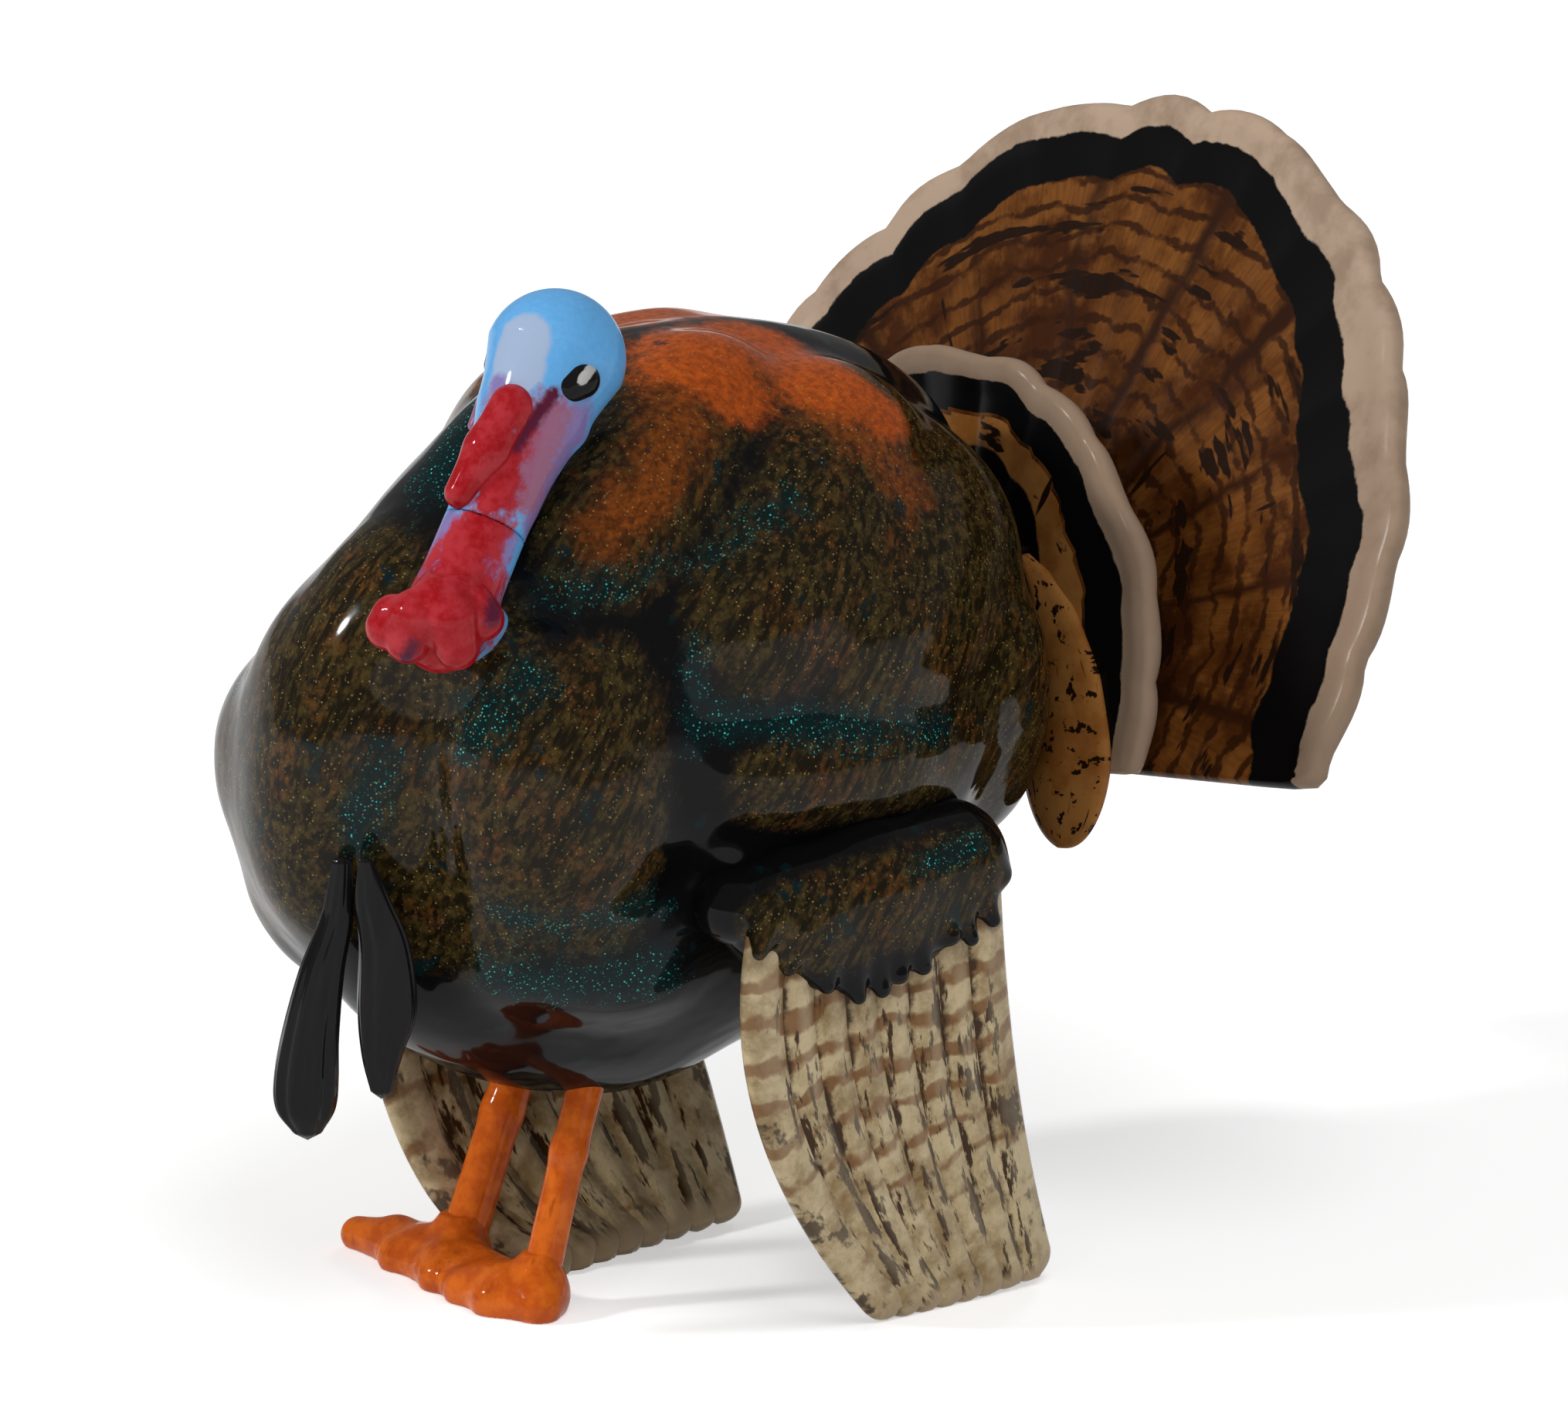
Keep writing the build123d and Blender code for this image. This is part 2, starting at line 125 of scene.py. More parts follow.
def new_finish(name, **sockets):
    """A material and its surface shader, with the given sockets set."""
    finish = bpy.data.materials.new(name)
    finish.use_nodes = True
    shader = finish.node_tree.nodes["Principled BSDF"]
    for socket, value in sockets.items():
        shader.inputs[socket.replace("_", " ")].default_value = value
    return finish, shader


def add_node(finish, kind, inputs=None, **settings):
    """A node with its settings made; an input is a value or another node's output."""
    node = finish.node_tree.nodes.new(kind)
    for key, value in settings.items():
        setattr(node, key, value)
    for socket, value in (inputs or {}).items():
        if isinstance(value, bpy.types.NodeSocket):
            finish.node_tree.links.new(value, node.inputs[socket])
        else:
            node.inputs[socket].default_value = value
    return node


def link(finish, output, shader, socket):
    """Leads a node's output to a socket of the shader."""
    finish.node_tree.links.new(output, shader.inputs[socket])


def node_output(finish, kind, inputs=None, output=0, **settings):
    """The named or numbered output of a new node."""
    return add_node(finish, kind, inputs, **settings).outputs[output]


def maths(finish, operation, first, second=0.5, third=0.5):
    """The result of one sum on numbers or other nodes' outputs."""
    inputs = {0: first, 1: second, 2: third}
    return node_output(finish, "ShaderNodeMath", inputs, operation=operation)


floor_corners = [(x * FLOOR_HALF, y * FLOOR_HALF, 0) for x, y in ((-1, -1), (1, -1), (1, 1), (-1, 1))]
floor = make_mesh("floor", floor_corners, [(0, 1, 2, 3)])
floor_finish, floor_shader = new_finish("table_white", Base_Color=TABLE_WHITE, Roughness=0.9)
light_path = add_node(floor_finish, "ShaderNodeLightPath")
seen = light_path.outputs["Is Camera Ray"]
for kind in ("Is Glossy Ray", "Is Transmission Ray"):
    seen = maths(floor_finish, "MAXIMUM", seen, light_path.outputs[kind])
link(floor_finish, maths(floor_finish, "MULTIPLY", seen, FLOOR_LIFT), floor_shader, "Emission Strength")
floor_shader.inputs["Emission Color"].default_value = WHITE
floor_shader.inputs["Specular IOR Level"].default_value = 0.0
floor.data.materials.append(floor_finish)

# ---- Body ------------------------------------------------------------------------------------
# The hollow body is two cast halves glued on the middle plane and painted as one. Soft
# lobes of breast, shoulder and flank feathers meet in shallow valleys filled with lacquer.

left_low, left_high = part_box("body_left_shell")
HALF_MM = MM_PER_M / 2
BODY_MIDDLE = np.array([0.0, (left_low.y + left_high.y) * HALF_MM, (left_low.z + left_high.z) * HALF_MM])
BODY_HALF_LENGTH = 59.0
BODY_HALF_HEIGHT = 50.0
BODY_HALF = np.array([left_high.x * MM_PER_M, BODY_HALF_LENGTH, BODY_HALF_HEIGHT])
BODY_TILT = math.radians(15.0)
BODY_SINK = 2.6
LOBE_BLEND = 1.1
BODY_GRID = 124

# Each lobe runs from one point to another, in millimetres, with a width and a height. The
# side lobes are repeated on the bird's other side, and so are the side hollows.
LEFT_LOBES = (
    ((13, 29, 123), (25, 3, 107), 12, 4.6),
    ((23, 48, 115), (37, 19, 97), 14, 4.6),
    ((28, 64, 100), (38, 40, 92), 17, 4.0),
    ((28, -12, 82), (30, -9, 64), 15, 5.0),
    ((26, -10, 50), (32, 2, 47), 11, 3.0),
)
RIGHT_LOBES = (
    ((-22, 24, 113), (-16, 42, 119), 13, 3.4),
    ((-37, 28, 93), (-28, 60, 100), 23, 4.4),
    ((-29, -13, 72), (-27, -12, 48), 18, 7.0),
    ((-16, -21, 88), (-18, -21, 54), 15, 3.8),
)
MIDDLE_LOBES = (
    ((1, -22, 98), (-6, -28, 60), 16, 4.4),
    ((13, -21, 93), (24, -13, 92), 7, 4.4),
    ((0, -2, 121), (0, 72, 110), 11, 3.0),
    ((0, 60, 36), (0, 80, 58), 12, 3.2),
    ((0, -12, 41), (6, 16, 29), 16, 3.2),
    ((0, 31, 26), (0, 31, 26), 9, 3.2),
)
SIDE_LOBES = (
    ((42, 17, 74), (41, 38, 73), 8.5, 2.8),
    ((41, 38, 73), (35, 54, 72), 8.0, 2.0),
    ((30, 66, 80), (22, 74, 62), 12, 4.8),
)
# Each hollow runs in the same way, with a width and a depth.
HOLLOWS = (
    ((-27, 5, 109), (-24, -6, 95), 15, 4.3),
    ((16, -21, 84), (13, -22, 56), 7.5, 2.6),
    ((33, 24, 108), (23, -5, 100), 6.0, 2.4),
)
SIDE_HOLLOWS = (
    ((35, 8, 95), (35, 6, 62), 6.5, 2.0),
    ((41, 20, 82), (41, 44, 79), 5.0, 0.8),
    ((38, 14, 66), (38, 36, 63), 5.0, 1.6),
    ((25, -16, 59), (35, 6, 59), 5.5, 1.4),
)


def nearest_on_run(points, start, end):
    """How far each point lies from the straight run between two points, and how far along."""
    start = np.asarray(start, float)
    run = np.asarray(end, float) - start
    share = np.clip((points - start) @ run / max(run @ run, 1e-9), 0, 1)
    return np.linalg.norm(points - start - share[:, None] * run, axis=1), share


def mirrored(run):
    """The same lobe, hollow or stroke on the bird's other side."""
    start, end, *rest = run
    return ((-start[0], *start[1:]), (-end[0], *end[1:]), *rest)


def both_sides(runs):
    return runs + tuple(mirrored(run) for run in runs)


def unit_vectors(vectors):
    """The same directions, each one long."""
    return vectors / np.linalg.norm(vectors, axis=-1, keepdims=True)


def grid_faces(rows, columns, closed=True):
    """The four-cornered faces of a grid of points, whose rows close into rings or stay strips."""
    row = np.arange(rows - 1)[:, None] * columns
    column = np.arange(columns if closed else columns - 1)[None]
    past = (column + 1) % columns
    corners = [row + column, row + columns + column, row + columns + past, row + past]
    return np.stack(corners, -1).reshape(-1, 4)


def ball_grid(count):
    """Unit directions on six square patches, welded into one closed grid, with its faces."""
    steps = np.tan(np.linspace(-math.pi / 4, math.pi / 4, count + 1))
    across, along = np.meshgrid(steps, steps, indexing="ij")
    ones = np.ones_like(across)
    patches = []
    for sign in (-1, 1):
        patches.append((np.stack([sign * ones, across, along], -1), sign > 0))
        patches.append((np.stack([across, sign * ones, along], -1), sign < 0))
        patches.append((np.stack([across, along, sign * ones], -1), sign > 0))
    points = unit_vectors(np.concatenate([patch.reshape(-1, 3) for patch, _ in patches]))
    faces = []
    for index, (_, outward) in enumerate(patches):
        quad = index * (count + 1) ** 2 + grid_faces(count + 1, count + 1, closed=False)
        faces.append(quad if outward else quad[:, ::-1])
    _, keep, back = np.unique(np.round(points, 6), axis=0, return_index=True, return_inverse=True)
    return points[keep], back.ravel()[np.concatenate(faces)]


def body_surface(directions):
    """The body's painted skin along each direction from its middle."""
    cosine, sine = math.cos(BODY_TILT), math.sin(BODY_TILT)
    level = np.stack(
        [
            directions[:, 0],
            directions[:, 1] * cosine + directions[:, 2] * sine,
            directions[:, 2] * cosine - directions[:, 1] * sine,
        ],
        -1,
    )
    reach = 1 / np.linalg.norm(level / (BODY_HALF - BODY_SINK), axis=1)
    base = BODY_MIDDLE + directions * reach[:, None]
    rise = np.zeros(len(base))
    for start, end, width, height in LEFT_LOBES + MIDDLE_LOBES + RIGHT_LOBES + both_sides(SIDE_LOBES):
        share = nearest_on_run(base, start, end)[0] / width
        dome = height * (1 - share ** 2)
        rise = LOBE_BLEND * np.logaddexp(rise / LOBE_BLEND, dome / LOBE_BLEND)
    for start, end, width, depth in HOLLOWS + both_sides(SIDE_HOLLOWS):
        rise -= depth * np.exp(-(nearest_on_run(base, start, end)[0] / width) ** 2)
    return base + directions * (rise - LOBE_BLEND * math.log(2))[:, None]


def paint_patch(points, strokes):
    """Where a colour is brushed on: 2 on a stroke's middle line, 1 at its edge, down to 0 away."""
    lie = np.zeros(len(points))
    for start, end, width in strokes:
        lie = np.maximum(lie, 2 - nearest_on_run(points, start, end)[0] / width)
    return lie


def store(piece, name, values):
    """Keeps one number for each point of the mesh, for its paint."""
    layer = piece.data.attributes.new(name, "FLOAT", "POINT")
    layer.data.foreach_set("value", np.asarray(values, np.float32))


# Strokes of each colour; every stroke is repeated on the bird's other side.
BODY_STROKES = {
    "orange": (
        ((10, 28, 125), (9, 42, 123), 10),
        ((9, 42, 123), (20, 42, 119), 9),
        ((20, 42, 119), (26, 48, 116), 6),
        ((13, 24, 122), (19, 28, 121), 8),
    ),
    "rust": (
        ((13, 22, 121), (21, 18, 118), 8.5),
        ((21, 16, 118), (26, 10, 112), 7),
        ((26, 10, 112), (26, 2, 108), 7),
        ((18, 38, 120), (28, 42, 114), 9),
        ((28, 42, 114), (33, 47, 108), 7),
    ),
    "bronze": (
        ((13, 29, 123), (25, 3, 107), 12),
        ((23, 48, 115), (37, 19, 96), 13),
        ((28, 64, 100), (38, 40, 90), 17),
        ((34, 60, 88), (31, 66, 68), 12),
        ((28, -12, 82), (30, -9, 66), 14),
        ((42, 17, 74), (36, 50, 73), 8),
        ((1, -22, 98), (-5, -28, 64), 15),
        ((-16, -18, 92), (-20, -20, 60), 15),
        ((-35, -6, 88), (-35, -7, 62), 13),
    ),
    "teal": (
        ((33, 26, 109), (32, 17, 106), 4.2),
        ((32, 17, 106), (29, 1, 101), 3.6),
        ((29, 1, 101), (23, -6, 100), 4.5),
        ((35, 9, 93), (36, 8, 80), 3.2),
        ((22, -20, 82), (27, -12, 90), 5),
        ((25, -16, 59), (35, 6, 59), 3.8),
        ((37, 12, 83), (41, 27, 80), 4.5),
        ((41, 27, 80), (39, 46, 77), 4.5),
        ((22, -13, 50), (32, 5, 49), 6),
        ((12, -24, 79), (9, -26, 68), 4.5),
        ((-6, 6, 118), (2, -6, 112), 7),
    ),
}


def step_up(finish, value, low, high):
    """0 under the low value, 1 over the high one, smooth between; the other way if low is above."""
    inputs = {"Value": value, "From Min": low, "From Max": high}
    return node_output(finish, "ShaderNodeMapRange", inputs, interpolation_type="SMOOTHSTEP")


def mix_colours(finish, share, first, second):
    """The first colour where the share is 0, the second where it is 1."""
    node = add_node(finish, "ShaderNodeMix", {0: share, 6: first, 7: second}, data_type="RGBA")
    return node.outputs[2]


def coats(finish, tone, *layers):
    """Coats laid over a tone in turn: each has where it lies, its colour and, if thin, its strength."""
    for where, colour, *strength in layers:
        share = maths(finish, "MULTIPLY", where, strength[0]) if strength else where
        tone = mix_colours(finish, share, tone, colour)
    return tone


def place_of(finish):
    """Places on the piece, in metres."""
    return node_output(finish, "ShaderNodeTexCoord", output="Object")


def cloud(finish, scale, detail, roughness, vector=None):
    """A soft blotchy texture; a larger scale makes smaller blotches."""
    inputs = {"Vector": vector or place_of(finish), "Scale": scale, "Detail": detail, "Roughness": roughness}
    return node_output(finish, "ShaderNodeTexNoise", inputs)


def combine(finish, x, y, z):
    """A vector from three numbers or nodes' outputs."""
    return node_output(finish, "ShaderNodeCombineXYZ", {0: x, 1: y, 2: z})


def combed(finish, along, length, width):
    """A vector that stretches a texture along one direction, as brush strokes lie."""
    long_way = Vector(along).normalized()
    side = long_way.orthogonal().normalized()
    other = long_way.cross(side)
    place = place_of(finish)
    parts = []
    for axis, size in ((long_way, length), (side, width), (other, width)):
        inputs = {0: place, 1: tuple(axis / size)}
        parts.append(node_output(finish, "ShaderNodeVectorMath", inputs, "Value", operation="DOT_PRODUCT"))
    return combine(finish, *parts)


FLAKE_EDGE = (0.40, 0.26)
FLAKE_SOFT = 0.02


def flakes(finish, spacing, least):
    """Metal flakes in the lacquer: 1 on a flake, and a chance number for each flake.

    The spacing is in millimetres, and least sets how few of the cells hold a flake.
    """
    inputs = {"Vector": place_of(finish), "Scale": MM_PER_M / spacing}
    cells = add_node(finish, "ShaderNodeTexVoronoi", inputs)
    parts = add_node(finish, "ShaderNodeSeparateColor", {"Color": cells.outputs["Color"]})
    chosen = step_up(finish, parts.outputs[0], least, least + FLAKE_SOFT)
    near = step_up(finish, cells.outputs["Distance"], *FLAKE_EDGE)
    return maths(finish, "MULTIPLY", chosen, near), parts.outputs[1]


def paint_over(finish, shader, tone, relief, strength, distance, socket="Normal"):
    """Gives the shader its colour, and fine relief up to a distance in metres."""
    inputs = {"Height": relief, "Strength": strength, "Distance": distance}
    link(finish, tone, shader, "Base Color")
    link(finish, node_output(finish, "ShaderNodeBump", inputs), shader, socket)


def stored(finish, name):
    """A number kept on the mesh for its paint."""
    return node_output(finish, "ShaderNodeAttribute", output="Fac", attribute_name=name)


def roughened(finish, field, texture, share):
    """A field made ragged by a texture."""
    return maths(finish, "MULTIPLY_ADD", maths(finish, "SUBTRACT", texture, 0.5), share, field)


def laid(finish, field, texture, ragged, soft):
    """How thickly a stored stroke of paint lies: 0 outside its ragged edge, 1 well inside."""
    return step_up(finish, roughened(finish, stored(finish, field), texture, ragged), 1.0, 1.0 + soft)


LACQUER = dict(Specular_IOR_Level=0.0, Coat_Weight=0.6, Coat_Roughness=0.085, Coat_IOR=1.31)
GLOSS_BLACK = (0.004, 0.004, 0.0045, 1)
DARK_GLAZE = (0.011, 0.008, 0.0035, 1)
OLIVE = (0.075, 0.050, 0.014, 1)
RUST = (0.13, 0.045, 0.009, 1)
DEEP_RUST = (0.075, 0.020, 0.004, 1)
BRIGHT_RUST = (0.24, 0.060, 0.008, 1)
DEEP_ORANGE = (0.24, 0.044, 0.005, 1)
BRIGHT_ORANGE = (0.50, 0.088, 0.008, 1)
TEAL_GLAZE = (0.002, 0.014, 0.016, 1)
GOLD_DULL = (0.08, 0.055, 0.015, 1)
GOLD_BRIGHT = (0.50, 0.36, 0.13, 1)
GLITTER_DULL = (0.0, 0.028, 0.026, 1)
GLITTER_BRIGHT = (0.06, 0.85, 0.72, 1)
FEATHER_LIE = (0.15, 0.53, 0.84)

body_paint, body_shader = new_finish("body_paint", Roughness=0.45, **LACQUER)
broad = cloud(body_paint, 110, 5, 0.7)
patches = cloud(body_paint, 300, 6, 0.7)
blots = cloud(body_paint, 190, 4, 0.6)
grain = step_up(body_paint, cloud(body_paint, 900, 4, 0.7), 0.3, 0.7)
brush_marks = cloud(body_paint, MM_PER_M, 3, 0.6, combed(body_paint, FEATHER_LIE, 6.0, 1.2))
bronze_share = laid(body_paint, "bronze", patches, 0.7, 0.35)
bronze_tone = mix_colours(body_paint, step_up(body_paint, broad, 0.46, 0.68), OLIVE, RUST)
for bare in (grain, step_up(body_paint, brush_marks, 0.40, 0.58)):
    bronze_tone = mix_colours(body_paint, bare, DARK_GLAZE, bronze_tone)
rust_tone = mix_colours(body_paint, grain, DEEP_RUST, BRIGHT_RUST)
orange_tone = mix_colours(body_paint, grain, DEEP_ORANGE, BRIGHT_ORANGE)
teal_share = laid(body_paint, "teal", patches, 2.2, 0.9)
gold_flakes, gold_random = flakes(body_paint, 0.38, 0.84)
gold_share = maths(body_paint, "MULTIPLY", gold_flakes, maths(body_paint, "MULTIPLY", bronze_share, 0.55))
teal_flakes, teal_random = flakes(body_paint, 0.36, 0.45)
glitter_share = maths(body_paint, "MULTIPLY", teal_flakes, teal_share)
glitter_depth = maths(body_paint, "POWER", teal_random, 3.0)
body_tone = coats(
    body_paint,
    GLOSS_BLACK,
    (bronze_share, bronze_tone),
    (laid(body_paint, "rust", patches, 1.8, 0.9), rust_tone),
    (laid(body_paint, "orange", patches, 0.9, 0.5), orange_tone),
    (step_up(body_paint, blots, 0.63, 0.68), TEAL_GLAZE, 0.8),
    (teal_share, TEAL_GLAZE, 0.85),
    (gold_share, mix_colours(body_paint, gold_random, GOLD_DULL, GOLD_BRIGHT)),
    (glitter_share, mix_colours(body_paint, glitter_depth, GLITTER_DULL, GLITTER_BRIGHT)),
)
ripples = cloud(body_paint, 80, 2, 0.5)
paint_over(body_paint, body_shader, body_tone, ripples, 0.55, 0.001, "Coat Normal")

PLUG_SIDES = 48
PLUG_PAST = 9


def round_plug(low, high):
    """A round bar that fills a box between two corners."""
    turn = np.linspace(0, 2 * math.pi, PLUG_SIDES, endpoint=False)
    middle, half = (low + high) / 2, (high - low) / 2
    ring = np.stack([middle[0] + half[0] * np.cos(turn), middle[1] + half[1] * np.sin(turn)], -1)
    points = [(*spot, height) for height in (low[2], high[2]) for spot in ring]
    faces = [list(range(PLUG_SIDES))[::-1], [PLUG_SIDES + side for side in range(PLUG_SIDES)]]
    for side in range(PLUG_SIDES):
        past = (side + 1) % PLUG_SIDES
        faces.append([side, past, PLUG_SIDES + past, PLUG_SIDES + side])
    return make_mesh("round_plug", points, faces)


def square_plug(low, high):
    """A square bar that fills a box between two corners."""
    points = [(x, y, z) for x in (low[0], high[0]) for y in (low[1], high[1]) for z in (low[2], high[2])]
    faces = [(0, 1, 3, 2), (4, 6, 7, 5), (0, 4, 5, 1), (2, 3, 7, 6), (0, 2, 6, 4), (1, 5, 7, 3)]
    return make_mesh("square_plug", points, faces)


def cut_with(piece, plug):
    """Cuts a plug's shape out of a piece and takes the plug away."""
    cut = piece.modifiers.new("cut", "BOOLEAN")
    cut.object = plug
    cut.operation = "DIFFERENCE"
    bpy.context.view_layer.objects.active = piece
    bpy.ops.object.modifier_apply(modifier=cut.name)
    bpy.data.objects.remove(plug)


def mesh_points(piece):
    """Every point of a mesh, in millimetres."""
    flat = np.zeros(len(piece.data.vertices) * 3)
    piece.data.vertices.foreach_get("co", flat)
    return flat.reshape(-1, 3) * MM_PER_M


def box_of(node):
    """The corners of the box round a CAD node, in millimetres."""
    return [np.array(corner) * MM_PER_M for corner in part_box(node)]


body_directions, body_faces = ball_grid(BODY_GRID)
body = make_mesh("painted_body", body_surface(body_directions), body_faces.tolist())
rod_low, rod_high = box_of("rod_socket")
tail_low, tail_high = box_of("tail_socket")
cut_with(body, round_plug(rod_low - (0, 0, PLUG_PAST), rod_high))
cut_with(body, square_plug(tail_low, tail_high + (0, PLUG_PAST, 0)))
body_points = mesh_points(body)
for field, strokes in BODY_STROKES.items():
    store(body, field, paint_patch(body_points, both_sides(strokes)))
body.data.materials.append(body_paint)
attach(body, "bird")
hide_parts("body_left_shell", "body_right_shell")

# ---- Neck and caruncles ----------------------------------------------------------------------
# The lower neck is a small casting pegged to the breast. Its red caruncles are pressed round
# its foot and painted crimson over sky blue. The head's dowel turns in the tube inside it.

NECK_FOOT = np.array([21.1, -22.1, 96.0])
HEAD_MIDDLE = np.array([15.8, 1.8, 128.4])
NECK_AIM = unit_vectors(HEAD_MIDDLE - NECK_FOOT)
SEAM_SHARE = 0.40
NECK_SEAM = NECK_FOOT + SEAM_SHARE * (HEAD_MIDDLE - NECK_FOOT)
SEAM_GAP = 0.12
SEAM_RADIUS = 5.3
FILLET = 0.45
CAST_CELL = 0.42
FINE_CELL = 0.3
CAST_MARGIN = 4.0
NUDGE = 0.02
LEAST_SLOPE = 0.3
SETTLING_STEPS = 3


def bar_distance(points, start, end, start_radius, end_radius):
    """Distance from points to the skin of a tapering round bar, negative inside it."""
    gap, share = nearest_on_run(points, start, end)
    return gap - start_radius - (end_radius - start_radius) * share


def blended(distances, fillet=FILLET):
    """Several forms joined with soft fillets."""
    return -fillet * np.logaddexp.reduce([-distance / fillet for distance in distances])


def bars(points, runs, fillet=FILLET):
    """Distance from points to a form made of tapering round bars."""
    return blended([bar_distance(points, *run) for run in runs], fillet)


def cast_piece(name, form, node, cell=CAST_CELL):
    """A closed mesh over a form, which gives each point's distance from its skin.

    A grid is laid through the CAD node's box and a margin. Each of its edges that the skin
    crosses gives one face, whose corners lie in the four cells round that edge and are then
    drawn onto the skin.
    """
    low, high = box_of(node)
    low, high = low - CAST_MARGIN, high + CAST_MARGIN
    counts = np.ceil((high - low) / cell).astype(int) + 1
    steps = [np.arange(count) for count in counts]

    def held(points):
        """The form, cut off flat just inside the grid, where another piece hides it."""
        outside = np.maximum(low + cell - points, points - high + cell).max(1)
        return np.maximum(form(points), outside)

    grid = low + cell * np.stack(np.meshgrid(*steps, indexing="ij"), -1).reshape(-1, 3)
    field = held(grid).reshape(counts)
    total = np.zeros((field.size, 3))
    hits = np.zeros(field.size)
    unit = np.eye(3, dtype=int)
    quads = []
    for axis in range(3):
        near = np.stack(np.nonzero(np.diff(field < 0, axis=axis)), -1)
        value = field[tuple(near.T)]
        beyond = field[tuple((near + unit[axis]).T)]
        crossing = near + unit[axis] * (value / (value - beyond))[:, None]
        one, two = unit[(axis + 1) % 3], unit[(axis + 2) % 3]
        corners = []
        for corner in (near, near - one, near - one - two, near - two):
            number = np.ravel_multi_index(tuple(corner.T), counts)
            np.add.at(total, number, crossing)
            np.add.at(hits, number, 1)
            corners.append(number)
        quad = np.stack(corners, -1)
        quads.append(np.where((value < 0)[:, None], quad, quad[:, ::-1]))
    used, faces = np.unique(np.concatenate(quads), return_inverse=True)
    points = low + cell * total[used] / hits[used][:, None]
    for _ in range(SETTLING_STEPS):
        value = held(points)
        slope = np.stack([held(points + NUDGE * axis) - value for axis in np.eye(3)], -1) / NUDGE
        points -= slope * (value / np.maximum((slope ** 2).sum(1), LEAST_SLOPE))[:, None]
    return make_mesh(name, points, faces.reshape(-1, 4).tolist()), points


def finish_piece(piece, body_name, finish, node):
    """Paints a piece and lets it ride on a body in its CAD node's stead."""
    piece.data.materials.append(finish)
    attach(piece, body_name)
    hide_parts(node)


HEAD_REACH = np.linalg.norm(HEAD_MIDDLE - NECK_SEAM)
NECK_LOW = NECK_FOOT + 5 * NECK_AIM
NECK_HIGH = NECK_SEAM + 5 * NECK_AIM
HEAD_LOW = NECK_SEAM + (HEAD_REACH - 7.5) * NECK_AIM

# Runs of tapering bar from the neck's foot up through the head, and one back into the breast.
THROAT_RUNS = (
    (NECK_FOOT + NECK_AIM, NECK_LOW, 5.0, 5.5),
    (NECK_LOW, NECK_HIGH, 5.5, SEAM_RADIUS),
    (NECK_HIGH, HEAD_LOW, SEAM_RADIUS, 7.1),
    (HEAD_LOW, HEAD_MIDDLE - 0.5 * NECK_AIM, 7.1, 9.1),
    (NECK_FOOT + (-0.5, 2, 2), NECK_FOOT + (-6, 15, -4), 4.8, 4.2),
)


def neck_form(points):
    top = NECK_SEAM - NECK_AIM * SEAM_GAP
    return np.maximum(bars(points, THROAT_RUNS), (points - top) @ NECK_AIM)


# Each lobe's two ends from the neck's foot, and its radius at each.
CARUNCLE_LOBES = (
    ((-2.9, -5.6, 2.2), (-2.4, -5.2, 3.6), 3.0, 2.9),
    ((0.2, -5.0, 0.9), (0.6, -4.0, 4.0), 2.9, 3.6),
    ((4.6, -0.6, 0.2), (3.8, -1.0, 4.0), 2.9, 3.6),
    ((4.6, 3.6, 3.2), (3.8, 2.8, 5.0), 2.8, 2.8),
    ((1.6, -1.0, 4.6), (0.4, 3.4, 8.0), 4.5, 3.6),
    ((1.6, 1.0, 2.4), (1.2, 1.0, 4.0), 4.6, 4.8),
)
LOBE_FILLET = 0.25


def caruncle_form(points):
    lobes = [(NECK_FOOT + start, NECK_FOOT + end, *radii) for start, end, *radii in CARUNCLE_LOBES]
    return bars(points, lobes, LOBE_FILLET)


SKY_BLUE = (0.10, 0.36, 0.72, 1)
LIGHT_BLUE = (0.16, 0.46, 0.84, 1)
PALE_SKIN_AND_HIGHLIGHT = (0.36, 0.46, 0.64, 1)
SKIN_LILAC = (0.24, 0.19, 0.44, 1)
SKIN_ROSE = (0.33, 0.13, 0.22, 1)
CRIMSON = (0.34, 0.006, 0.010, 1)
PINK_RED = (0.44, 0.030, 0.040, 1)
WINE = (0.10, 0.012, 0.035, 1)

head_paint, head_shader = new_finish("head_paint", Roughness=0.5, **LACQUER)
dabs = cloud(head_paint, 380, 5, 0.65)
fine_dabs = cloud(head_paint, 1300, 3, 0.6)
# The pale coat is a pale patch on the brow and, on the caruncles, small painted highlights.
head_tone = coats(
    head_paint,
    mix_colours(head_paint, fine_dabs, SKY_BLUE, LIGHT_BLUE),
    (laid(head_paint, "pale", dabs, 0.3, 0.25), PALE_SKIN_AND_HIGHLIGHT),
    (laid(head_paint, "lilac", dabs, 0.9, 0.5), SKIN_LILAC),
    (laid(head_paint, "rose", fine_dabs, 1.2, 0.6), SKIN_ROSE),
    (
        laid(head_paint, "red", dabs, 1.7, 0.5),
        mix_colours(head_paint, step_up(head_paint, dabs, 0.35, 0.65), CRIMSON, PINK_RED),
    ),
    (laid(head_paint, "dark", fine_dabs, 0.8, 0.8), WINE),
)
paint_over(head_paint, head_shader, head_tone, dabs, 0.25, 0.0004)


def cast_skin(name, form, body_name, origin, strokes, cell=CAST_CELL):
    """Casts a piece of bare skin and brushes on each colour, in strokes placed from an origin."""
    piece, points = cast_piece(f"painted_{name}", form, name, cell)
    for field, runs in strokes.items():
        placed = [(origin + start, origin + end, width) for start, end, width in runs]
        store(piece, field, paint_patch(points, placed))
    finish_piece(piece, body_name, head_paint, name)


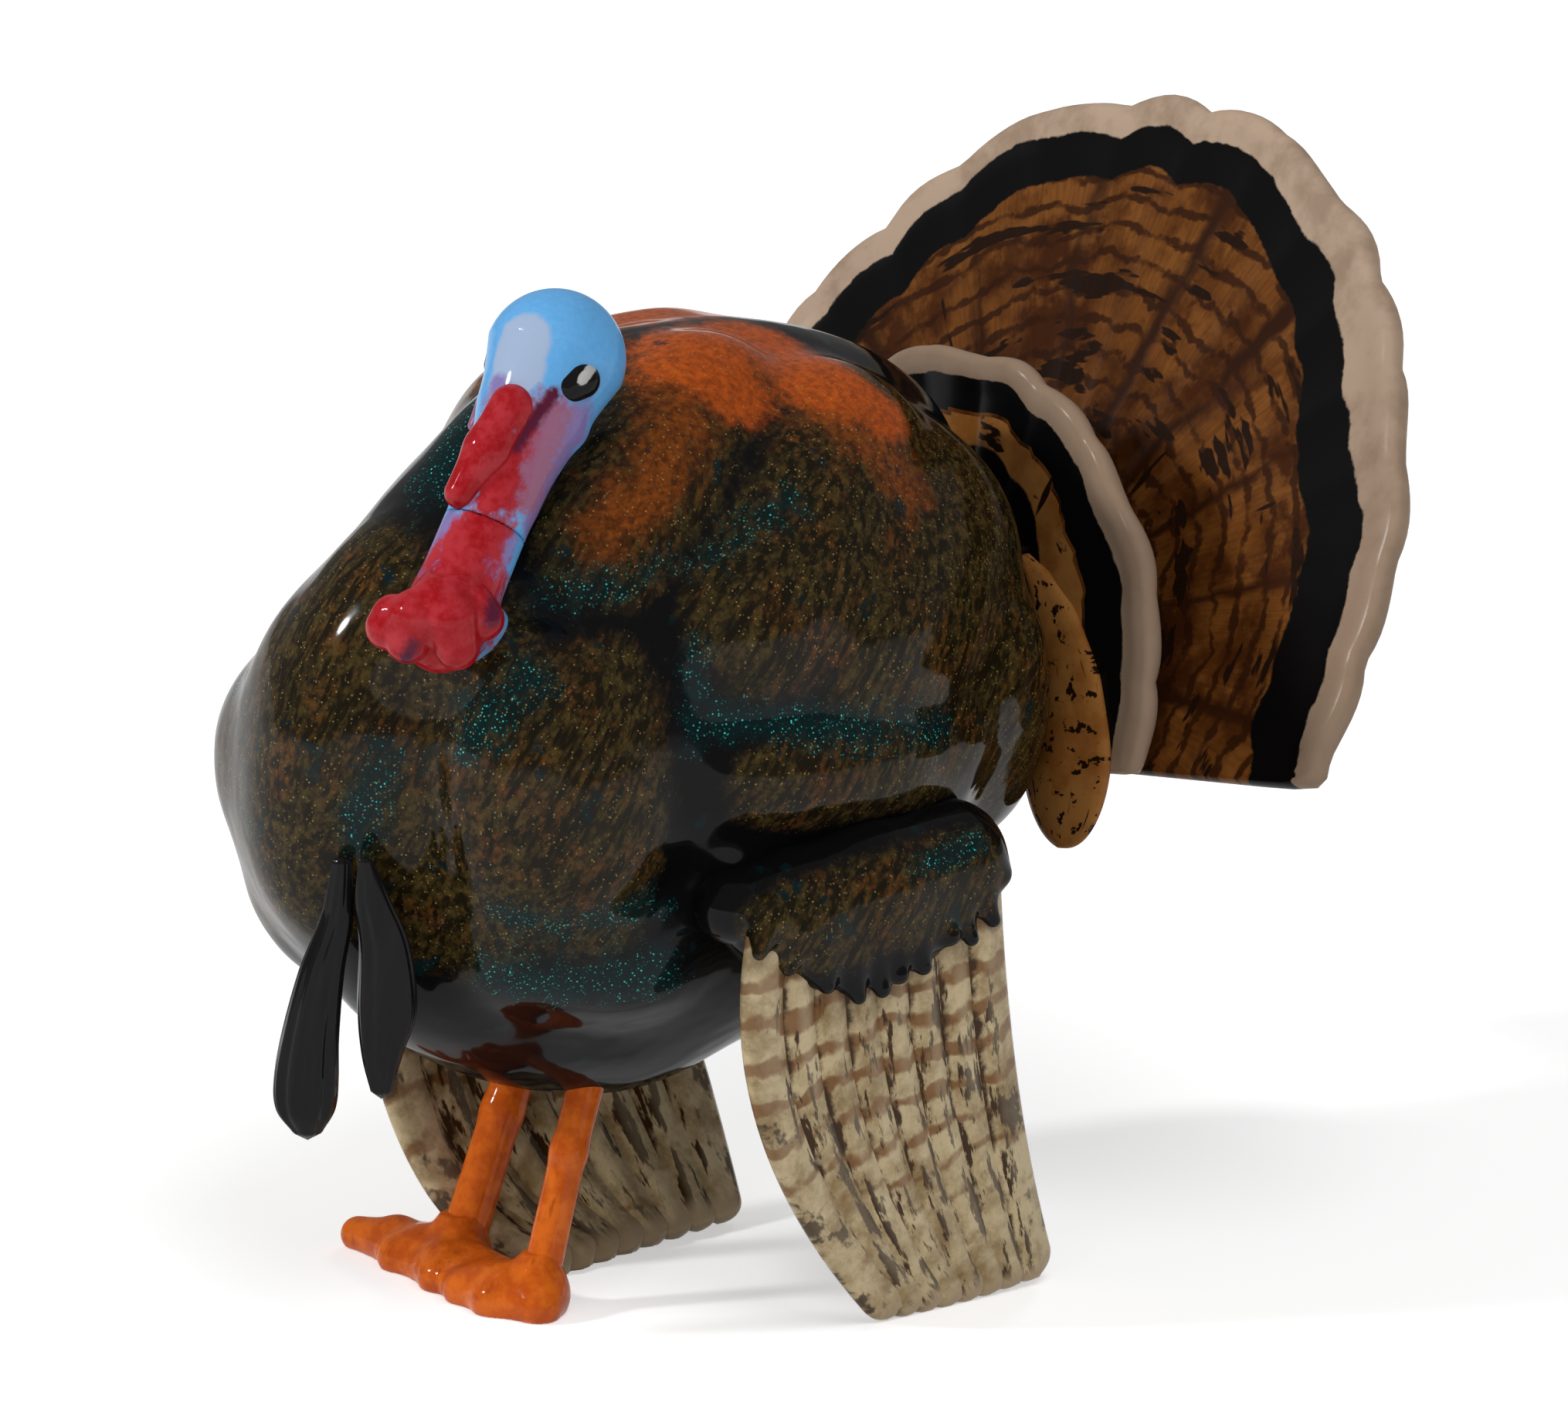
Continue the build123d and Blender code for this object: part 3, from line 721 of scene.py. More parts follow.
NECK_DARK = (
    ((7.5, 3, 4), (5, 9.5, 14), 2.2),
    ((1.8, -7, -1.6), (2.4, -6, 1.2), 1.5),
)
NECK_STROKES = {
    "red": (
        ((3, -2, -4), (3, -1, 5), 12),
        ((2.0, -1.6, 6), (1.6, 7.4, 16), 4.6),
    ),
    "lilac": (
        ((-3, -2, 8), (-3, 3, 14), 4),
        ((6, 3, 6), (4, 10, 16), 4.4),
    ),
    "dark": NECK_DARK,
}
CARUNCLE_STROKES = {
    "red": (((-8, -4, 0), (8, 0, 0), 34),),
    "dark": NECK_DARK,
    # The pale dabs on the caruncles are painted highlights.
    "pale": (
        ((-5, -9, 4), (-4.6, -8, 1), 1.4),
        ((1, -9, 5), (5, -6, 5), 1.2),
        ((7, -3, 1), (7, -1, 3), 1.2),
    ),
}
cast_skin("neck", neck_form, "bird", NECK_FOOT, NECK_STROKES)
cast_skin("caruncles", caruncle_form, "bird", NECK_FOOT, CARUNCLE_STROKES)

# ---- Head, snood, beak and eyes --------------------------------------------------------------
# The head is one casting on a steel dowel and turns on the neck. The snood and the short beak
# are set in its face, and the eyes are black beads, each with a painted white glint for a highlight.

EYE_AIM = unit_vectors(np.array([8.6, -3.2, -0.9]))
OTHER_SIDE = np.array([-1, 1, 1])
CHEEK_REACH = 5.4
CHEEK_DROP = np.array([0, -3.0, -4.4])
CHEEK_RUN = np.array([0, 3.0, -3.6])
BEAK_FILLET = 0.2


def head_form(points):
    """The throat's runs above the seam, with a low cheek under each eye."""
    runs = list(THROAT_RUNS)
    for aim in (EYE_AIM, EYE_AIM * OTHER_SIDE):
        cheek = HEAD_MIDDLE + CHEEK_REACH * aim + CHEEK_DROP
        runs.append((cheek, cheek + CHEEK_RUN, 2.6, 2.0))
    return np.maximum(bars(points, runs), (NECK_SEAM - points) @ NECK_AIM)


def snood_form(points):
    root = HEAD_MIDDLE + (3.6, -10.2, -4.4)
    middle = HEAD_MIDDLE + (3.2, -14.0, -9.4)
    tip = HEAD_MIDDLE + (2.5, -17.8, -14.6)
    return bars(points, ((root, middle, 3.0, 2.9), (middle, tip, 2.9, 2.1)))


def beak_form(points):
    """An upper and a lower jaw, closed, low on the right of the face."""
    root = HEAD_MIDDLE + (-4.2, -5.0, -3.8)
    tip = HEAD_MIDDLE + (-4.5, -9.9, -8.4)
    upper = bar_distance(points, root, tip, 3.0, 0.8)
    lower = bar_distance(points, root + (0.4, 0.4, -2.4), tip + (0.4, 1.6, -1.6), 2.3, 0.7)
    return blended([upper, lower], BEAK_FILLET)


# Strokes on the head, each with its two ends from the head's middle and its half width.
HEAD_STROKES = {
    "pale": (
        ((2.8, -8.3, 4.0), (2.4, -9.2, 1.8), 4.6),
        ((3.6, -8.6, 0.6), (2.4, -9.9, -1.6), 3.6),
    ),
    "rose": (((8.0, -8.0, -5.3), (7.5, -11.5, -14.0), 5.0),),
    "lilac": (
        ((9.2, -3.6, -6.6), (7.0, -9.1, -18.0), 4.4),
        ((1.2, -9.6, -2.2), (0.2, -9.8, -4.4), 2.2),
    ),
    "red": (
        ((4.0, -11.4, -6.4), (5.6, -14.6, -12.0), 4.6),
        ((5.9, -14.0, -12.0), (5.2, -16.6, -21.0), 4.2),
    ),
    "dark": (((7.5, -6.6, -2.4), (6.0, -11.8, -8.8), 1.5),),
}
SNOOD_STROKES = {"red": (((2, -9, -5), (3, -18, -16), 14),)}
BEAK_STROKES = {"rose": (((-3, -6, -4), (-3, -12, -9), 9),)}
cast_skin("head", head_form, "turning_head", HEAD_MIDDLE, HEAD_STROKES)
cast_skin("snood", snood_form, "turning_head", HEAD_MIDDLE, SNOOD_STROKES, FINE_CELL)
cast_skin("beak", beak_form, "turning_head", HEAD_MIDDLE, BEAK_STROKES, FINE_CELL)

BEAD_BLACK = (0.004, 0.004, 0.005, 1)
BEAD_GREY = (0.009, 0.009, 0.010, 1)
PAINTED_GLINT_WHITE = (0.45, 0.44, 0.43, 1)

# Each bead has a painted white glint: a highlight painted onto the black.
eye_paint, eye_shader = new_finish("eye_bead", Roughness=0.3, **LACQUER)
eye_grain = cloud(eye_paint, 2500, 3, 0.6)
eye_tone = mix_colours(eye_paint, eye_grain, BEAD_BLACK, BEAD_GREY)
painted_glint_share = laid(eye_paint, "painted_glint", eye_grain, 0.5, 0.3)
link(eye_paint, mix_colours(eye_paint, painted_glint_share, eye_tone, PAINTED_GLINT_WHITE), eye_shader, "Base Color")

EYE_REACH = 7.9
EYE_SLANT = np.array([0.36, 0.52, 0.34])
EYE_DROP = np.array([0, 0, -0.9])
EYE_CELL = 0.2
PAINTED_GLINT_ENDS = ((2.4, -1.1, 0.9), (1.6, 1.2, 2.1))
PAINTED_GLINT_HALF = 0.8

for side, sign in (("left", 1), ("right", -1)):
    flip = np.array([sign, 1, 1])
    eye_middle = HEAD_MIDDLE + EYE_REACH * EYE_AIM * flip + EYE_DROP
    back_corner = eye_middle + EYE_SLANT * flip
    front_corner = eye_middle - 1.2 * EYE_SLANT * flip

    def eye_form(points):
        return bar_distance(points, front_corner, back_corner, 2.25, 2.4)

    eye, eye_points = cast_piece(f"{side}_eye_bead", eye_form, f"{side}_eye", EYE_CELL)
    painted_glint = [eye_middle + np.array(spot) * flip for spot in PAINTED_GLINT_ENDS]
    store(eye, "painted_glint", paint_patch(eye_points, ((*painted_glint, PAINTED_GLINT_HALF),)))
    finish_piece(eye, "turning_head", eye_paint, f"{side}_eye")

# ---- Wing feathers ---------------------------------------------------------------------------
# Each wing's long feathers are cast side by side as one blade, painted cream, and barred and
# lined with thin brown paint. The blade is pegged under the covert pad and stands on its tip.

FEATHERS = 8
PAINTED_LENGTH = 62
FEATHER_RINGS = 56
FEATHER_SIDES = 20
FEATHER_HALF = 3.5
FEATHER_THICK = 1.7
TIP_SHARE = 0.9995
RACHIS_RISE = 0.22
RACHIS_WIDTH = 0.16
RIM_QUIET = 0.3


def curve_point(start, middle, end, share):
    """A point on a gentle three-point curve."""
    return (1 - share) ** 2 * start + 2 * share * (1 - share) * middle + share ** 2 * end


def rounded_end(share, start):
    """1 up to the start of a rounded end, then down a quarter circle to 0."""
    return np.sqrt(np.clip(1 - (np.clip(share - start, 0, 1) / (1 - start)) ** 2, 0, 1))


def feather_shell(start, middle, end, face, half_width, half_thick, round_from=0.95):
    """One closed feather round a curved quill: its points, faces, and places along and across."""
    share = 1 - (1 - np.linspace(0, 1, FEATHER_RINGS)) ** 1.5
    share[-1] = TIP_SHARE
    centre = curve_point(start, middle, end, share[:, None])
    tangent = unit_vectors(np.gradient(centre, axis=0))
    side = unit_vectors(np.cross(tangent, face))
    out = np.cross(side, tangent)
    turn = np.linspace(0, 2 * math.pi, FEATHER_SIDES, endpoint=False)
    cosine, sine = np.cos(turn), np.sin(turn)
    tip = rounded_end(share, round_from)[:, None]
    spread = np.interp(share, np.linspace(0, 1, len(half_width)), half_width)[:, None] * tip
    rachis = 1 + RACHIS_RISE * np.exp(-(cosine / RACHIS_WIDTH) ** 2)
    thick = half_thick * np.sign(sine) * np.abs(sine) ** 0.8 * rachis * (0.35 + 0.65 * tip)
    points = centre[:, None] + side[:, None] * (spread * cosine)[..., None] + out[:, None] * thick[..., None]
    # The rings run the other way round here, so each face is turned over.
    faces = grid_faces(FEATHER_RINGS, FEATHER_SIDES)[:, [0, 3, 2, 1]].tolist()
    faces.append(list(range(FEATHER_SIDES))[::-1])
    faces.append([(FEATHER_RINGS - 1) * FEATHER_SIDES + number for number in range(FEATHER_SIDES)])
    length = np.concatenate([[0], np.cumsum(np.linalg.norm(np.diff(centre, axis=0), axis=1))])
    along = np.repeat(length, FEATHER_SIDES)
    across = np.tile(cosine, FEATHER_RINGS)
    return points.reshape(-1, 3), faces, along, across


def join_feathers(name, shells):
    """Several feathers in one mesh that stands on the ground, with the paint's places stored on it."""
    points, faces, along, across, number = [], [], [], [], []
    for order, shell in enumerate(shells):
        first = len(np.concatenate(points)) if points else 0
        points.append(shell[0])
        faces += [[corner + first for corner in face] for face in shell[1]]
        along.append(shell[2] * PAINTED_LENGTH / shell[2].max())
        across.append(shell[3].copy())
        number.append(np.full(len(shell[0]), order))
    for rim, inner in ((0, 1), (-1, -2)):
        rings = points[rim].reshape(FEATHER_RINGS, FEATHER_SIDES, 3)
        from_quill = rings - rings.mean(1, keepdims=True)
        inward = points[inner].reshape(rings.shape) - rings
        across[rim][((from_quill * inward).sum(-1) < 0).ravel()] *= RIM_QUIET
    points = np.concatenate(points)
    points[:, 2] = np.maximum(points[:, 2], 0)
    piece = make_mesh(name, points, faces)
    for field, values in (("along", along), ("across", across), ("feather", number)):
        store(piece, field, np.concatenate(values))
    return piece


FEATHER_SHIFT = 3.7


def laid_along(finish, along, across, number, length, width):
    """A brush texture that lies along each feather, with strokes of a length and a width."""
    place = combine(
        finish,
        maths(finish, "MULTIPLY", along, 1 / length),
        maths(finish, "MULTIPLY", across, FEATHER_HALF / width),
        maths(finish, "MULTIPLY", number, FEATHER_SHIFT),
    )
    return cloud(finish, 1.0, 4, 0.65, place)


WING_SHADE = (0.27, 0.18, 0.078, 1)
WING_CREAM = (0.58, 0.46, 0.27, 1)
RIB_HIGHLIGHT_CREAM = (0.72, 0.62, 0.44, 1)
TIP_CREAM = (0.47, 0.355, 0.22, 1)
BAR_BROWN = (0.18, 0.070, 0.017, 1)
GROOVE_BROWN = (0.050, 0.024, 0.009, 1)

wing_paint, wing_shader = new_finish("wing_paint", Roughness=0.5, **LACQUER)
wing_along = stored(wing_paint, "along")
wing_across = stored(wing_paint, "across")
wing_places = (wing_along, wing_across, stored(wing_paint, "feather"))
wash = cloud(wing_paint, 170, 5, 0.7)
wobble = cloud(wing_paint, 75, 3, 0.6)
worn = cloud(wing_paint, 260, 4, 0.6)

# Brown bars cross the feathers in rows and fade towards the tips.
bar_phase = maths(wing_paint, "MULTIPLY_ADD", wing_along, 1.15, maths(wing_paint, "MULTIPLY", wobble, 11.0))
bar_wave = maths(wing_paint, "MULTIPLY_ADD", worn, 2.2, maths(wing_paint, "SINE", bar_phase))
fading = maths(wing_paint, "MULTIPLY", step_up(wing_paint, wing_along, 26, 54), 0.75)
brown_bars = step_up(wing_paint, maths(wing_paint, "SUBTRACT", bar_wave, fading), 1.30, 1.95)

# Dark strokes lie along them, most in the grooves between, and a painted highlight runs down the raised rib
# of each middle.
long_strokes = laid_along(wing_paint, *wing_places, 8.0, 1.6)
long_strokes = maths(wing_paint, "MULTIPLY_ADD", step_up(wing_paint, wing_along, 8, 30), 0.07, long_strokes)
edge = maths(wing_paint, "ABSOLUTE", wing_across)
groove = roughened(wing_paint, edge, laid_along(wing_paint, *wing_places, 5.0, 4.0), 1.3)
rib_highlight = maths(wing_paint, "MULTIPLY", step_up(wing_paint, edge, 0.45, 0.05), 0.35)
wing_tone = coats(
    wing_paint,
    mix_colours(wing_paint, step_up(wing_paint, wash, 0.32, 0.66), WING_SHADE, WING_CREAM),
    (brown_bars, BAR_BROWN, 0.85),
    (step_up(wing_paint, long_strokes, 0.60, 0.66), GROOVE_BROWN),
    (step_up(wing_paint, groove, 0.64, 0.90), GROOVE_BROWN),
    (maths(wing_paint, "MULTIPLY", rib_highlight, wash), RIB_HIGHLIGHT_CREAM),
    (step_up(wing_paint, wing_along, 58, 61), TIP_CREAM),
)
paint_over(wing_paint, wing_shader, wing_tone, worn, 0.4, 0.0004)


def spread_feathers(first, last, face, half_width):
    """Feathers laid evenly between the first and the last, each given by three points.

    The fourth number of each says how far its tip is lifted, which fades over its neighbours.
    """
    shells = []
    for order in range(FEATHERS):
        share = order / (FEATHERS - 1)
        places = [np.array(a) * (1 - share) + np.array(b) * share for a, b in zip(first[:3], last[:3])]
        lift = first[3] * (1 - share) ** 3 + last[3] * share ** 3
        places[2] = places[2] + np.array([0, 0, lift])
        shells.append(feather_shell(*places, np.array(face), half_width, FEATHER_THICK))
    return shells


# Each wing: its first and last feather, the way its face looks, and a feather's half widths.
WINGS = {
    "left": (
        ((41.5, 16.0, 56), (41.8, 9.0, 30), (41.8, 37.0, 0.3), 0.8),
        ((41.5, 50.5, 57), (41.8, 51.5, 27), (41.8, 60.0, 0.3), 0.6),
        (1, 0.10, 0),
        (3.9, 3.9, 3.8, 3.8),
    ),
    "right": (
        ((-38, 16.0, 60), (-23.8, 1.0, 7), (-0.5, 17.0, 0.3), 0.0),
        ((-39.5, 47.0, 60), (-24, 52.0, 25), (-4.0, 45.5, 0.3), 0.4),
        (-0.87, 0, -0.49),
        (3.6, 4.6, 4.6, 3.8),
    ),
}
for side, wing in WINGS.items():
    feathers = join_feathers(f"{side}_wing_feathers", spread_feathers(*wing))
    finish_piece(feathers, "bird", wing_paint, f"{side}_wing_primaries")

# ---- Wing covert pads ------------------------------------------------------------------------
# A small cast pad covers the roots of the long feathers on each flank. It is glued over the
# pegs, ends in ragged feather tips, and is glazed like the body.

# The left pad: its body's runs with a radius at each end, and its feather tips with their radius.
PAD_RUNS = (
    ((36.4, 13.5, 58), (37.0, 22, 56), 4.8, 8.2),
    ((37.0, 22, 56), (37.0, 34, 57), 8.2, 9.2),
    ((37.0, 34, 57), (37.0, 49, 58), 9.2, 8.0),
    ((39.6, 25, 50.5), (39.6, 40, 51), 5.2, 5.2),
)
PAD_TIPS = (
    ((42.0, 15, 57), (43.8, 12.0, 53.6), 2.8),
    ((42.5, 18, 54), (44.2, 16.6, 50.8), 2.6),
    ((42.5, 22, 51), (44.8, 22.5, 47.6), 3.2),
    ((42.5, 27, 50), (45.0, 27.6, 45.2), 2.8),
    ((42.5, 31, 50), (45.0, 31.6, 45.4), 1.8),
    ((42.5, 35, 50), (45.0, 34.6, 46.8), 1.6),
    ((42.5, 38, 51), (45.0, 38.6, 47.2), 2.4),
    ((42.5, 43, 52), (44.8, 43.4, 50.4), 1.8),
    ((42.5, 46, 54), (44.6, 47.0, 49.4), 1.7),
    ((42.0, 49, 57), (44.0, 51.2, 51.0), 1.9),
    ((41.0, 50, 61), (43.0, 53.4, 56.5), 2.2),
)
PAD_BACK = 33.0
PAD_FILLET = 0.9
TIP_END = 0.9
PAD_BRONZE = (((46, 16, 56), (46, 46, 58), 8),)
PAD_TEAL = (((46, 38, 61), (44, 48, 62), 3),)


def pad_form(points):
    """The left pad, flat at the back where it meets the flank."""
    tips = tuple((start, end, radius, TIP_END) for start, end, radius in PAD_TIPS)
    return np.maximum(bars(points, PAD_RUNS + tips, PAD_FILLET), PAD_BACK - points[:, 0])


for side, sign in (("left", 1), ("right", -1)):
    pad_flip = np.array([sign, 1, 1])

    def side_form(points):
        return pad_form(points * pad_flip)

    pad, pad_points = cast_piece(f"{side}_covert_pad", side_form, f"{side}_wing_coverts")
    store(pad, "bronze", paint_patch(pad_points * pad_flip, PAD_BRONZE))
    store(pad, "teal", paint_patch(pad_points * pad_flip, PAD_TEAL))
    finish_piece(pad, "bird", body_paint, f"{side}_wing_coverts")

# ---- Tail fans -------------------------------------------------------------------------------
# Two fans of feathers are cast as plates, the large one leaning back behind the small one.
# Both have a raised cream rim, a black band and an amber field barred with thin brown paint,
# and a broad gold feather hangs from each side of the small one.

FAN_COLUMNS = 11
FAN_ROWS = 44
RIM_ROWS = 7
NO_LIMIT = 400
BEAD_RISE = 0.55
BEAD_INSET = 2.4
BEAD_WIDTH = 1.9
LOBE_THICK = 1.5
LOBE_ROUND = 0.66
GOLD_BAND = 9


def feather_place(spec, angle):
    """Which feather lies at each angle, counted from the lowest, and how far across it."""
    return (angle + spec["droop"]) / ((180 + 2 * spec["droop"]) / spec["feathers"])


def fan_edge(spec, angle):
    """The fan's reach at each angle: along its feather tips, and where its lower edge cuts them."""
    place = feather_place(spec, angle)
    scallop = (2 * (place % 1) - 1) ** 2 * spec["scallop"] * (0.7 + 0.5 * np.sin(place * 1.7))
    uneven = 0.45 * np.sin(place * 2.3) + 0.35 * np.sin(place * 4.1 + 1.0)
    swell = spec["swell"] * (np.sin(np.radians(angle)) ** 2 - 0.5)
    tips = spec["radius"] - scallop - uneven + swell
    right = np.where(angle > 90, 180 - angle, angle)
    turn = np.radians(np.minimum(right, -1))
    low_x, low_y, slope = spec["corner"]
    lower = (low_y - slope * low_x) / (np.sin(turn) - slope * np.cos(turn))
    limit = np.where(right < -1, lower, NO_LIMIT)
    soft = spec["corner_softness"]
    return tips, -soft * np.logaddexp(-tips / soft, -limit / soft)


def fan_section(spec, angle, tips, edge):
    """How far out and how high each row lies: along the front, round the rim and along the back."""
    share = np.linspace(0.04, 1, FAN_ROWS) ** 0.8
    half = spec["thick"] / 2
    reach = share[:, None] * (edge - half)[None]
    ridge = 1 - np.abs(2 * (feather_place(spec, angle) % 1) - 1) ** 2.2
    ridge = spec["ridge"] * ridge[None] * np.clip(reach / 12 - 0.6, 0, 1)
    bead = BEAD_RISE * np.exp(-((tips[None] - reach - BEAD_INSET) / BEAD_WIDTH) ** 2)
    front = half + ridge + bead - 0.3
    back = -half - 0.4 * ridge - 0.4 * bead + 0.2
    rim_turn = np.linspace(0, math.pi, RIM_ROWS + 2)[1:-1]
    top, bottom = front[-1], back[-1]
    middle, radius = (top + bottom) / 2, (top - bottom) / 2
    rim_reach = (edge - half)[None] + half * np.sin(rim_turn)[:, None]
    rim_height = middle[None] + radius[None] * np.cos(rim_turn)[:, None]
    reach = np.concatenate([reach, rim_reach, reach[::-1]])
    return reach, np.concatenate([front, rim_height, back[::-1]])


def fan_band(spec, angle, from_tips):
    """Where the paint changes: 0 at the feather tips, 1 at the cream's end and 2 at the black's."""
    cream = np.interp(angle, *zip(*spec["cream"]))[None]
    black = np.interp(angle, *zip(*spec["black"]))[None]
    band = np.where(from_tips < cream, from_tips / cream, 1 + (from_tips - cream) / black)
    return np.where(band > 2, np.minimum(band, spec["depth"]) + spec["ring"], band)


def make_fan(name, spec):
    """A fan plate with ridged feathers, a raised rounded rim and a smooth back."""
    columns = spec["feathers"] * FAN_COLUMNS + 1
    angle = np.linspace(-spec["spread"], 180 + spec["spread"], columns)
    tips, edge = fan_edge(spec, angle)
    reach, height = fan_section(spec, angle, tips, edge)
    lean = math.radians(spec["lean"])
    up = np.array([0, math.sin(lean), math.cos(lean)])
    forward = np.array([0, -math.cos(lean), math.sin(lean)])
    right = np.array([1.0, 0, 0])
    centre = np.array(spec["centre"])
    turn = np.radians(angle)[None]
    points = (
        centre
        + (reach * np.cos(turn))[..., None] * right
        + (reach * np.sin(turn))[..., None] * up
        + height[..., None] * forward
    )
    points = points.reshape(-1, 3)
    rows = len(reach)
    faces = grid_faces(rows, columns, closed=False).tolist()
    first = [number * columns for number in range(rows)]
    faces.append(first[::-1])
    faces.append([number + columns - 1 for number in first])
    inner = list(range(columns))
    faces.append(inner + [(rows - 1) * columns + number for number in inner[::-1]])
    fields = {
        "band": fan_band(spec, angle, tips[None] - reach).ravel(),
        "reach": reach.ravel(),
        "angle": np.tile(angle, rows),
        "feather": np.tile(feather_place(spec, angle), rows),
    }
    for start, middle, end, half_width in spec["lobes"]:
        places = [centre + x * right + y * up + z * forward for x, y, z in (start, middle, end)]
        shell = feather_shell(*places, forward, half_width, LOBE_THICK, LOBE_ROUND)
        lobe, lobe_faces, along, across = shell
        faces += [[corner + len(points) for corner in face] for face in lobe_faces]
        points = np.concatenate([points, lobe])
        same = np.ones_like(along)
        extra = {"band": GOLD_BAND * same, "reach": 2 * along, "angle": 60 * across, "feather": 0.5 * same}
        fields = {field: np.concatenate([fields[field], extra[field]]) for field in fields}
    piece = make_mesh(name, points, faces)
    for field, values in fields.items():
        store(piece, field, values)
    return piece


LOBE_WIDTHS = (0.8, 4.6, 7.4, 9.0, 9.4)
COVERT_LOBES = [
    ((sign * 13, 15, 0.8), (sign * 26, 3, 1.6), (sign * 26.4, -21.0, 1.6), LOBE_WIDTHS) for sign in (1, -1)
]
# Rows of an angle and the rim's width there, in degrees and millimetres, from the bird's left.
TAIL_CREAM = (
    (-12, 2.5),
    (0, 5.2),
    (20, 5.8),
    (42, 9.0),
    (60, 7),
    (80, 5),
    (120, 4.2),
    (160, 5),
    (180, 6),
    (192, 2.5),
)

TAIL_FAN = dict(
    centre=(0, 91.3, 74.4),
    lean=29,
    radius=70.9,
    thick=3.0,
    droop=4,
    spread=36,
    feathers=16,
    scallop=1.3,
    swell=7.4,
    corner_softness=2.6,
    ridge=0.2,
    depth=2.4,
    ring=0.0,
    corner=(66, -9, 0.143),
    cream=TAIL_CREAM,
    black=((0, 9.5), (30, 9), (60, 7), (90, 5.6), (130, 7), (180, 9)),
    lobes=(),
)
COVERT_FAN = dict(
    centre=(0, 82.4, 72.8),
    lean=8,
    radius=40,
    thick=2.4,
    droop=12,
    spread=20,
    feathers=12,
    scallop=0.9,
    swell=0.0,
    corner_softness=1.2,
    ridge=0.4,
    depth=7.0,
    ring=0.7,
    corner=(39, -9, 0.15),
    cream=((-10, 5), (20, 5.5), (60, 4), (90, 3), (120, 4), (180, 5.5)),
    black=((0, 8), (30, 7.5), (60, 5.5), (90, 4.5), (150, 7), (180, 8)),
    lobes=COVERT_LOBES,
)

AMBER_DARK = (0.055, 0.015, 0.003, 1)
AMBER = (0.17, 0.058, 0.011, 1)
HONEY = (0.22, 0.080, 0.017, 1)
GOLD_LIGHT = (0.31, 0.135, 0.035, 1)
AMBER_SHADOW = (0.030, 0.009, 0.003, 1)
STROKE_BROWN = (0.014, 0.006, 0.003, 1)
BAND_BLACK = (0.0035, 0.003, 0.003, 1)
RIM_CREAM = (0.47, 0.345, 0.25, 1)
RIM_SHADE = (0.33, 0.235, 0.165, 1)
RIM_PAINTED_SHADE = (0.25, 0.17, 0.115, 1)


def fan_texture(finish, each_degree, each_mm, shift, detail=4):
    """A brush texture laid out on the fan by angle and reach, with its scale along each."""
    angle = maths(finish, "MULTIPLY", stored(finish, "angle"), each_degree)
    reach = maths(finish, "MULTIPLY", stored(finish, "reach"), each_mm)
    return cloud(finish, 1.0, detail, 0.6, combine(finish, angle, reach, shift))


TAIL_LACQUER = LACQUER | dict(Coat_Weight=0.4, Coat_Roughness=0.22)
tail_paint, tail_shader = new_finish("tail_paint", Roughness=0.5, **TAIL_LACQUER)
reach_mm = stored(tail_paint, "reach")
hand = cloud(tail_paint, 130, 4, 0.6)
washes = cloud(tail_paint, 85, 4, 0.6)
fibres = fan_texture(tail_paint, 1.6, 0.16, 3.0)

# Amber washes, lighter and yellower away from the middle.
honey = maths(tail_paint, "MULTIPLY_ADD", reach_mm, 0.006, cloud(tail_paint, 150, 4, 0.6))
honey_share = step_up(tail_paint, honey, 0.79, 0.97)

# Thin dark rings follow the fan round, broken and uneven.
ring_wobble = maths(tail_paint, "MULTIPLY", fan_texture(tail_paint, 0.07, 0.05, 7.0), 14.0)
ring_wave = maths(tail_paint, "SINE", maths(tail_paint, "MULTIPLY_ADD", reach_mm, 1.5, ring_wobble))
ring_wave = maths(tail_paint, "MULTIPLY_ADD", fan_texture(tail_paint, 0.18, 0.3, 1.0), 2.6, ring_wave)

# Wider dark seams run outward, about one to every two feathers.
seam_drift = fan_texture(tail_paint, 0.03, 0.05, 5.0)
seam_place = roughened(tail_paint, stored(tail_paint, "feather"), seam_drift, 0.9)
seam_turn = maths(tail_paint, "FRACT", maths(tail_paint, "MULTIPLY", seam_place, 0.55))
seam_share = maths(tail_paint, "ABSOLUTE", maths(tail_paint, "SUBTRACT", seam_turn, 0.5))
seam_share = roughened(tail_paint, seam_share, fan_texture(tail_paint, 0.10, 0.03, 9.0), 0.35)

# Short near-black strokes lie outward and across.
long_dark = step_up(tail_paint, fan_texture(tail_paint, 0.22, 0.05, 0.0, 2), 0.68, 0.71)
cross_dark = step_up(tail_paint, fan_texture(tail_paint, 0.055, 0.24, 11.0, 3), 0.575, 0.61)
dark_strokes = maths(tail_paint, "MAXIMUM", long_dark, cross_dark)

# The band field runs from 0 at the feather tips over 1 at the cream's end to 2 at the black's.
hand_band = roughened(tail_paint, stored(tail_paint, "band"), hand, 0.45)
gold = coats(
    tail_paint,
    mix_colours(tail_paint, step_up(tail_paint, hand, 0.36, 0.62), HONEY, GOLD_LIGHT),
    (dark_strokes, STROKE_BROWN),
)
inner_black = maths(
    tail_paint, "MINIMUM", step_up(tail_paint, hand_band, 3.6, 3.7), step_up(tail_paint, hand_band, 8.6, 8.5)
)
